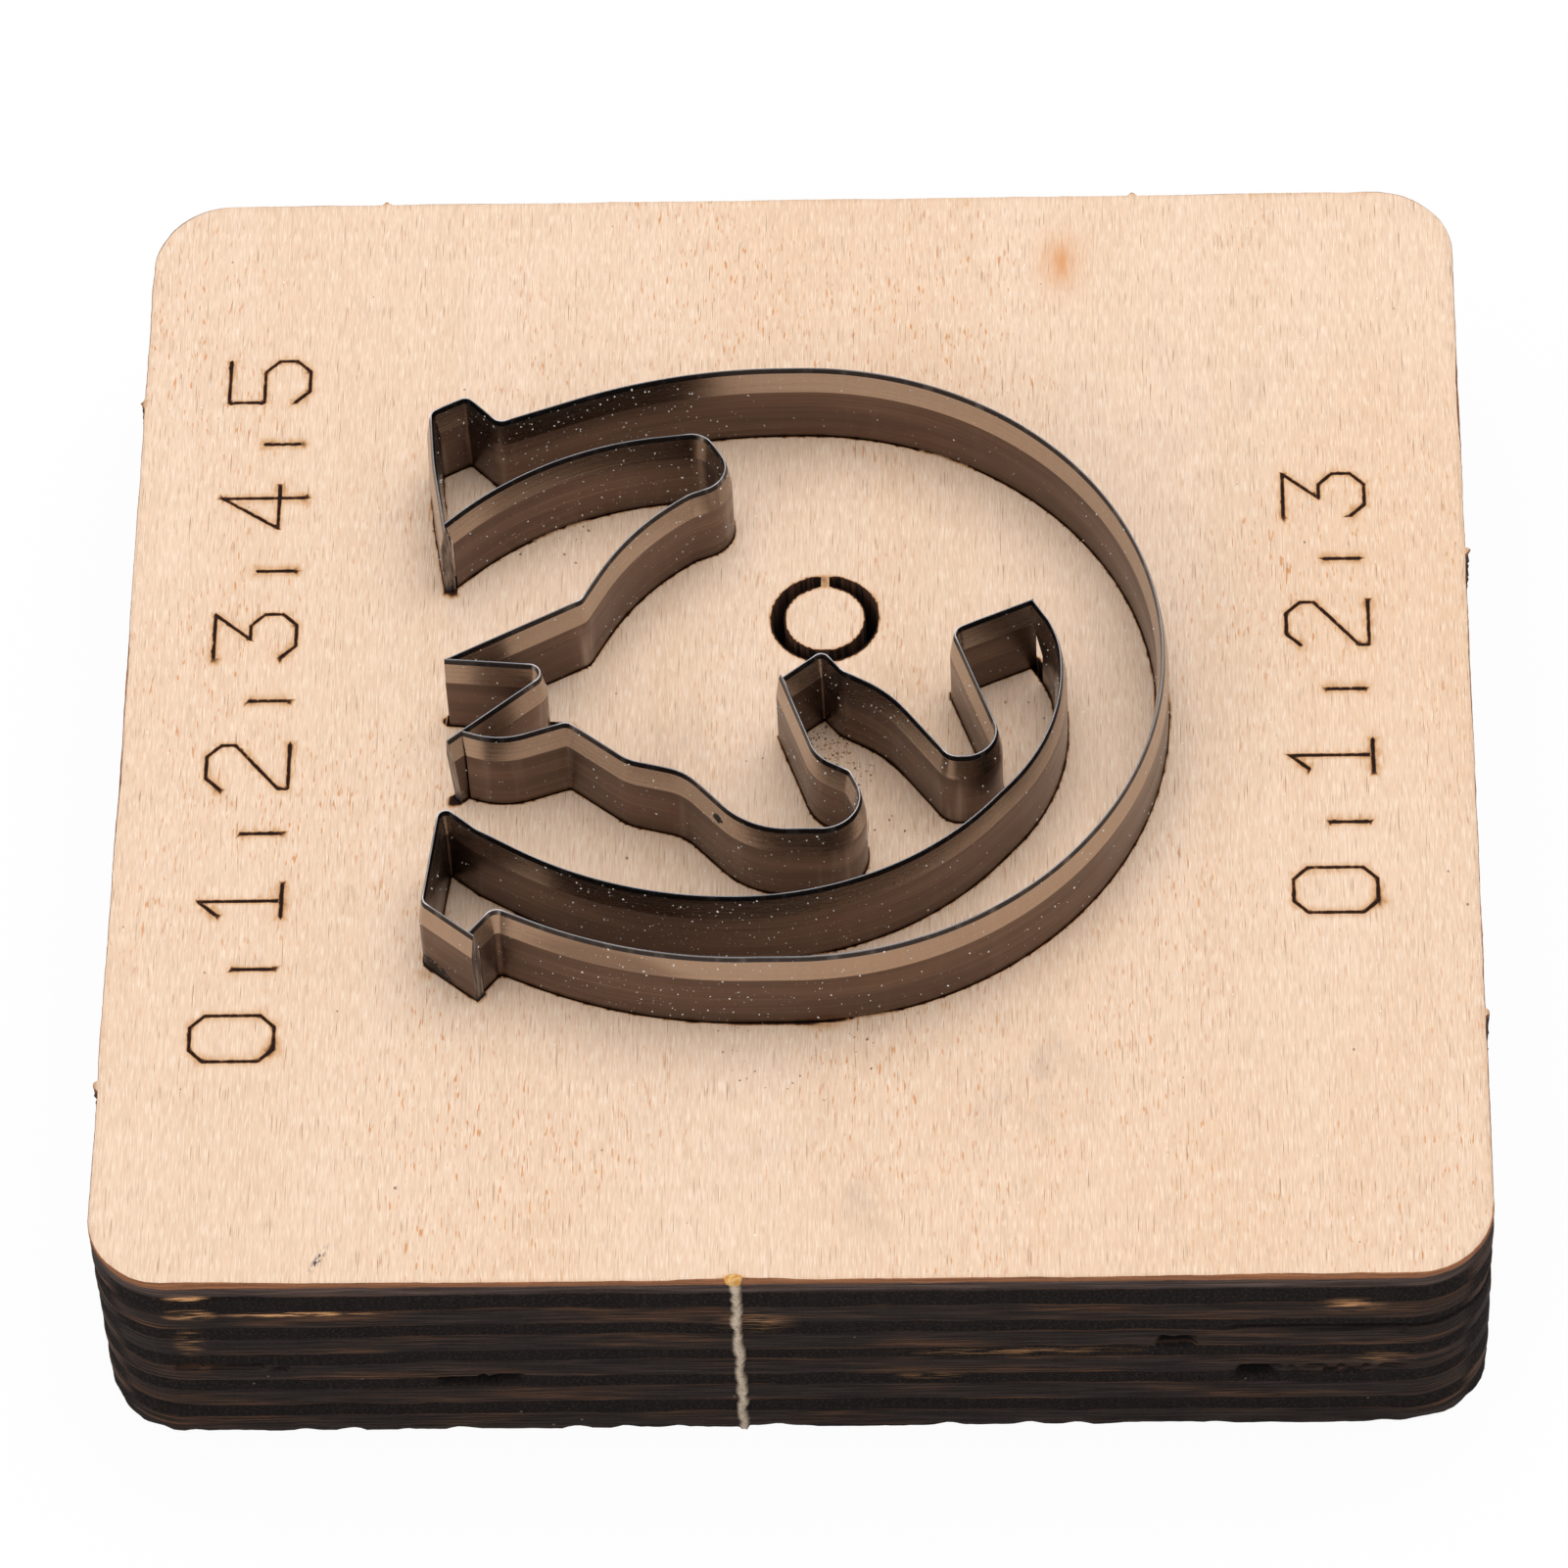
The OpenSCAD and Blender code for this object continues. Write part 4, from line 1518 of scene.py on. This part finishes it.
    def _relief(self, place: np.ndarray, e: int, u: float, z: float) -> tuple[float, float, float, float]:
        """Works out the edge at one spot.

        Args:
            place: spot on the outline.
            e: side number: front, right, back, left.
            u: place along that side.
            z: height.

        Returns:
            Depth under the outline, place through the plies, share of torn wood, share of hollow.
        """
        x, y = place
        wave = 0.35 * ripple(x * 0.05, y * 0.05, 3.1 + 0.12 * z)
        wave += 0.12 * ripple(x * 0.3, y * 0.3, z * 0.25)
        ply = float(np.interp(z + wave, self.ply_tops, range(len(self.ply_tops))))
        swing = max(-1.0, min(1.0, 3.0 * math.sin(math.pi * ply)))
        turn = 0.5 + 0.5 * max(-1.0, min(1.0, (abs(x) - abs(y)) / 2.0))
        across = 0.5 - 0.5 * swing * (1.0 - 2.0 * turn)
        rough = 0.05 * ripple(x * 0.5, y * 0.5, z * 2.2)
        rough += 0.03 * ripple(x * 2.6, y * 2.6, z * 4.0)
        seam = max(0.0, 1.0 - abs(math.sin(math.pi * ply)) / 0.35)
        seam *= max(0.0, ripple(x * 0.13, y * 0.13, 4.0 * round(ply)) + 0.05)
        depth = self.edge_depth + self.end_grain_depth * across + self.seam_depth * seam + rough
        void = 0.0
        for side, at, up, wide, tall in self.hollows:
            if side == e:
                edge = 0.12 * ripple(x * 1.3, y * 1.3, 7.7)
                over = max(abs(u - at) / wide, abs(z + wave - up - edge) / tall)
                void = max(void, clipped((1.15 - over) / 0.3))
        chip = max(0.0, ripple(x * 0.6, y * 0.6, 1.7) - 0.05)
        depth += self.hollow_depth * void + self.chip_depth * chip * max(0.0, 1.0 - z / 0.5)
        depth += self.rim_depth * max(0.0, 1.0 - (self.thick - z) / 0.06)
        depth += self.rim_depth * max(0.0, 1.0 - z / 0.1)
        torn = 0.0
        for tab in self.tabs[e]:
            drift = tab + 0.18 * ripple(z * 0.7, e * 5.0, 0.3)
            drift += 0.1 * ripple(z * 3.0, e * 5.0, 0.9)
            half = self.tab_wide / 2 * (0.75 + 0.35 * ripple(z * 1.6, e * 3.0, 5.5))
            share = clipped((half + 0.1 - abs(u - drift)) / 0.2)
            if share > 0.0:
                crag = 0.5 + 0.5 * ripple(u * 4.0, z * 2.4, e * 2.0)
                depth = depth * (1.0 - share) + share * (0.1 - (self.tab_out + 0.1) * crag)
                torn = max(torn, share * (1.0 if e == 0 else max(0.0, crag - 0.55)))
        return max(depth, -self.tab_out), ply, torn, void

    def _kerf(self, paths: list[Trace]) -> KDTree:
        """Returns a search tree of points along the middle of all the slots."""
        spots = [path.dense(0.06) for path in paths]
        x, y, radius = self.ring
        angles = np.arange(0.0, 2 * math.pi, 0.02)
        angles = angles[np.abs(angles - math.pi / 2) > 0.2]
        spots.append(np.c_[x + radius * np.cos(angles), y + radius * np.sin(angles)])
        points = np.concatenate(spots)
        tree = KDTree(len(points))
        for i, (px, py) in enumerate(points):
            tree.insert((px, py, 0.0), i)
        tree.balance()
        return tree

    def _slot_gap(self, kerf: KDTree, xy: np.ndarray) -> np.ndarray:
        """Returns each point's distance to the nearest wall of a slot."""
        return np.array([kerf.find((x, y, 0.0))[2] for x, y in xy]) - self.slot_wide / 2

    def _strokes(self) -> np.ndarray:
        """Returns the scales' strokes as rows of two end points."""
        rows = []
        for scale in self.scales:
            for line in scale.strokes():
                rows += [(*a, *b) for a, b in zip(line, line[1:])]
        return np.array(rows, float)

    def _stroke_gap(self, xy: np.ndarray) -> np.ndarray:
        """Returns each point's distance to the nearest stroke of the scales."""
        best = np.full(len(xy), 99.0)
        for x0, y0, x1, y1 in self._strokes():
            way = np.array([x1 - x0, y1 - y0])
            t = np.clip(((xy - (x0, y0)) @ way) / (way @ way), 0.0, 1.0)
            best = np.minimum(best, np.linalg.norm(xy - (x0, y0) - t[:, None] * way, axis=1))
        return best

    def _lid_points(self, kerf: KDTree, level: float, pitch: float) -> np.ndarray:
        """Lays points over the face or the underside, closer beside slots and strokes.

        Args:
            kerf: middle of the slots.
            level: height of the surface.
            pitch: spacing of the plain grid.

        Returns:
            The points as rows.
        """
        ticks = np.arange(-self.side / 2 + 0.5, self.side / 2 - 0.4, pitch)
        gx, gy = np.meshgrid(ticks, ticks)
        gx[::2] += pitch / 2
        points = [np.c_[gx.ravel(), gy.ravel()]]
        if level > 0.0:
            for x0, y0, x1, y1 in self._strokes():
                way = np.array([x1 - x0, y1 - y0])
                length = float(np.linalg.norm(way))
                way /= length
                m = self.mark_half
                t = np.linspace(0.0, length, 1 + max(2, math.ceil(length / 0.35)))
                for off in (-2.2 * m, -m, 0.0, m, 2.2 * m):
                    points.append(np.array([x0, y0]) + np.outer(t, way) + off * left_of(way))
                for end in ((x0, y0) - m * way, (x1, y1) + m * way):
                    points.append(np.array([end]))
        fine = np.arange(-self.fine_reach, self.fine_reach + 0.1, self.fine_pitch)
        fx, fy = np.meshgrid(fine, fine)
        grid = np.c_[fx.ravel(), fy.ravel()]
        gaps = self._slot_gap(kerf, grid)
        points.append(grid[(gaps > 0.04) & (gaps < (0.5 if level else 0.2))])
        found = np.concatenate(points)
        keep = np.array([self._inset(x, y) > 0.3 for x, y in found])
        return found[keep]

    def _burn(self, xy: np.ndarray, kerf: KDTree, marks: np.ndarray) -> np.ndarray:
        """Works out the scorch of face points; the dark line beside the slots is partly a painted shadow at
        the rules' foot.

        Args:
            xy: the points.
            kerf: middle of the slots.
            marks: distance of each point to the scales' strokes.

        Returns:
            Scorch of each point, from 0 to about 1.
        """
        gaps = np.maximum(self._slot_gap(kerf, xy), 0.0)
        rim = np.maximum(np.array([self._inset(x, y) for x, y in xy]), 0.0)
        # The dark line beside the slots: laser scorch and partly a painted shadow at the rules' foot.
        burn = bell(gaps, *self.slot_burn_and_shadow) + haze(gaps, *self.slot_haze) + haze(rim, *self.rim_haze)
        x, y, radius = self.ring
        off = np.abs(np.linalg.norm(xy - (x, y), axis=1) - radius) - self.slot_wide / 2
        burn += bell(np.maximum(off, 0.0), *self.ring_burn)
        burn = np.maximum(burn, np.clip(1.1 - 0.42 * marks / self.mark_half, 0.0, 0.95))
        burn += haze(marks, *self.mark_haze)
        for scale in self.scales:
            for line in scale.strokes():
                for end in (line[0], line[-1]):
                    burn += bell(np.linalg.norm(xy - end, axis=1), *self.stop_burn) * (marks < 3.0)
        for x, y, wide, deep, share in self.scorches:
            burn += share * np.exp(-((xy[:, 0] - x) / wide) ** 2 - ((xy[:, 1] - y) / deep) ** 2)
        return np.clip(burn, 0.0, 1.2)

    def _lid(
        self,
        work: bmesh.types.BMesh,
        solid: BVHTree,
        rim: list[bmesh.types.BMVert],
        kerf: KDTree,
        level: float,
        pitch: float,
    ) -> int:
        """Closes the board with its face or underside, slots left open.

        Args:
            work: mesh with the slot walls and the edge.
            solid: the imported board, to tell wood from slot.
            rim: outermost vertices at this level.
            kerf: middle of the slots.
            level: height of the surface.
            pitch: spacing of the plain grid.

        Returns:
            Number of triangles made.
        """
        here = {v for v in work.verts if abs(v.co.z / MM - level) < 1e-3} - set(rim)
        walls = [e for e in work.edges if len(e.link_faces) == 1 and here.issuperset(e.verts)]
        bound = list({v for e in walls for v in e.verts})
        bound.sort(key=lambda v: (v.co.x, v.co.y))
        known = bound + rim
        number = {v: i for i, v in enumerate(known)}
        edges = [(number[a], number[b]) for e in walls for a, b in [e.verts]]
        edges += [(number[rim[i]], number[rim[(i + 1) % len(rim)]]) for i in range(len(rim))]
        extra = self._lid_points(kerf, level, pitch)
        flat = [v.co.xy / MM for v in known] + [Vector(p) for p in extra]
        made, _, triangles, origin, _, _ = delaunay_2d_cdt(flat, edges, [], 1, 1e-5)
        xy = np.array([tuple(p) for p in made])
        marks = self._stroke_gap(xy) if level else np.full(len(xy), 99.0)
        burn = self._burn(xy, kerf, marks)
        drop = self.mark_deep * np.clip(1.0 - marks / self.mark_half, 0.0, 1.0)
        burn_of = work.verts.layers.float["burn"]
        verts = []
        for i, (x, y) in enumerate(xy):
            old = [k for k in origin[i] if k < len(known)]
            v = known[old[0]] if old else work.verts.new((x * MM, y * MM, (level - drop[i]) * MM))
            v[burn_of] = float(burn[i])
            verts.append(v)
        count = 0
        for tri in triangles:
            x, y = xy[list(tri)].mean(0)
            above = (x * MM, y * MM, 0.05)
            if self._inset(x, y) < 1.0 or solid.ray_cast(above, (0, 0, -1))[0] is not None:
                corners = [verts[k] for k in tri]
                if level == 0.0:
                    corners.reverse()
                work.faces.new(corners).smooth = True
                count += 1
        return count

    def sawdust(self, tree: bpy.types.NodeTree, finish: bpy.types.Material) -> bpy.types.Object:
        """Scatters sawdust on the face, most of it in the corner under the throat.

        Args:
            tree: the scatter.
            finish: finish of the grains.

        Returns:
            The sawdust as one piece.
        """
        work = bmesh.new()
        dusty_of = work.verts.layers.float.new("dusty")
        for x, y, reach, share in self.heaps:
            centre = work.verts.new((x * MM, y * MM, self.thick * MM))
            centre[dusty_of] = share
            angles = np.linspace(0, 2 * math.pi, 24, endpoint=False)
            spots = [(np.array([x, y]) + reach * unit(a)) * MM for a in angles]
            rim = [work.verts.new((*spot, self.thick * MM)) for spot in spots]
            for a, b in zip(rim, rim[1:] + rim[:1]):
                work.faces.new((centre, a, b))
        mesh = as_mesh(work, "dusty_face")
        inputs = {"Density": 0.8e8, "Smallest": 0.03 * MM, "Largest": 0.12 * MM, "Seed": 3, "Finish": finish}
        grains = grow(link_new("dusty_face", mesh), tree, inputs, "sawdust")
        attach(grains, "root")
        return grains

    def resin(self, finish: bpy.types.Material) -> bpy.types.Object:
        """Models the bead of glue at the top of the front tab.

        Args:
            finish: finish of the bead.

        Returns:
            The bead.
        """
        work = bmesh.new()
        bmesh.ops.create_icosphere(work, subdivisions=3, radius=1.0)
        for v in work.verts:
            swell = 1.0 + 0.35 * noise.noise(v.co * 1.7)
            v.co = (Vector(self.bead) + swell * Vector(self.bead_size) * v.co) * MM
        for f in work.faces:
            f.smooth = True
        mesh = as_mesh(work, "resin_bead")
        mesh.materials.append(finish)
        bead = link_new("resin_bead", mesh)
        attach(bead, "root")
        return bead


@dataclass
class Studio:
    """White sweep, soft lamps and the camera."""

    lens: float = 201.04
    place: Triple = (0.017346, -0.319287, 0.438494)
    right: Triple = (0.999355, 0.0114393, -0.0340399)
    down: Triple = (-0.0111131, -0.8028575, -0.5960674)
    forward: Triple = (-0.0341478, 0.5960613, -0.8022125)
    world_level: float = 0.55

    def build(self) -> None:
        """Sets up the camera, the floor, the world and the lamps."""
        self._camera()
        self._floor()
        self._world()
        self._lamp("high", (0.1, 0.25, 0.9), 0.9, 6.0)
        self._lamp("front_left", (-0.7, -0.6, 0.7), 0.6, 2.4)
        bpy.context.scene.view_settings.view_transform = "Standard"

    def _camera(self) -> None:
        """Places the camera as the photograph was taken."""
        camera = bpy.data.cameras.new("camera")
        camera.lens, camera.sensor_width = self.lens, 36.0
        camera.clip_start, camera.clip_end = 0.01, 20.0
        seat = link_new("camera", camera)
        axes = (Vector(self.right), -Vector(self.down), -Vector(self.forward))
        turn = Matrix(axes).transposed().to_4x4()
        seat.matrix_world = Matrix.Translation(self.place) @ turn
        bpy.context.scene.camera = seat

    def _white(self, tree: bpy.types.NodeTree) -> tuple[Wiring, Socket]:
        """Returns the wiring of a tree and a mask of the rays that see the background."""
        w = Wiring(tree)
        path = w.add("ShaderNodeLightPath")
        seen = w.math("MAXIMUM", path.outputs["Is Camera Ray"], path.outputs["Is Glossy Ray"])
        return w, w.math("MAXIMUM", seen, path.outputs["Is Transmission Ray"])

    def _floor(self) -> None:
        """Lays a pale floor that keeps a soft shadow."""
        mesh = bpy.data.meshes.new("floor")
        mesh.from_pydata([(-3, -3, 0), (3, -3, 0), (3, 3, 0), (-3, 3, 0)], [], [(0, 1, 2, 3)])
        material = bpy.data.materials.new("floor")
        material.use_nodes = True
        material.node_tree.nodes.clear()
        w, seen = self._white(material.node_tree)
        paper = w.add("ShaderNodeBsdfDiffuse", {"Color": (0.88, 0.88, 0.88)})
        glow = w.add("ShaderNodeEmission", {"Color": (1.0, 1.0, 1.0), "Strength": 1.0})
        shaders = {0: w.times(seen, 0.95), 1: paper.outputs[0], 2: glow.outputs[0]}
        both = w.add("ShaderNodeMixShader", shaders)
        w.add("ShaderNodeOutputMaterial", {0: both.outputs[0]})
        mesh.materials.append(material)
        link_new("floor", mesh)

    def _world(self) -> None:
        """Fills the room with even light, white where it is seen."""
        world = bpy.data.worlds.new("room")
        world.use_nodes = True
        world.node_tree.nodes.clear()
        bpy.context.scene.world = world
        w, seen = self._white(world.node_tree)
        light = w.add("ShaderNodeBackground", {0: EVEN, 1: w.between(seen, self.world_level, 1.0)})
        w.add("ShaderNodeOutputWorld", {0: light.outputs[0]})

    def _lamp(self, name: str, place: Triple, size: float, power: float) -> None:
        """Hangs one soft square lamp that faces the board.

        Args:
            name: name of the lamp.
            place: where it hangs.
            size: its side.
            power: its power in watts.
        """
        lamp = bpy.data.lights.new(name, "AREA")
        lamp.size, lamp.energy = size, power
        seat = link_new(name, lamp)
        seat.location = place
        seat.rotation_euler = (-Vector(place)).to_track_quat("-Z", "Y").to_euler()


def main() -> None:
    """Loads the frame and builds the die and its studio."""
    logging.basicConfig(level=logging.INFO, format="%(message)s")
    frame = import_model()
    Studio().build()
    effects = Effects()
    rule_set = RuleSet()
    strips = rule_set.build(RuleSteel().make(effects))
    finishes = (BirchFace().make(effects), BurntEdge().make(effects), CharredCut().make(effects))
    maker = DieBoard()
    paths = [rule.trace() for rule in rule_set.rules]
    board = maker.build(frame["nodes"]["die_board"], paths, finishes)
    scatter = grain_scatter()
    pale = Grains("pale_dust", (0.86, 0.84, 0.8), (0.6, 0.56, 0.5)).make(effects)
    brown = Grains("brown_sawdust", (0.5, 0.3, 0.15), (0.12, 0.07, 0.045)).make(effects)
    loose = [rule_set.dust(strips, scatter, pale), maker.sawdust(scatter, brown)]
    loose.append(maker.resin(Resin().make(effects)))
    for piece in (*strips, board, *loose):
        LOG.info("%s: %d faces", piece.name, len(piece.data.polygons))


if __name__ == "__main__":
    main()
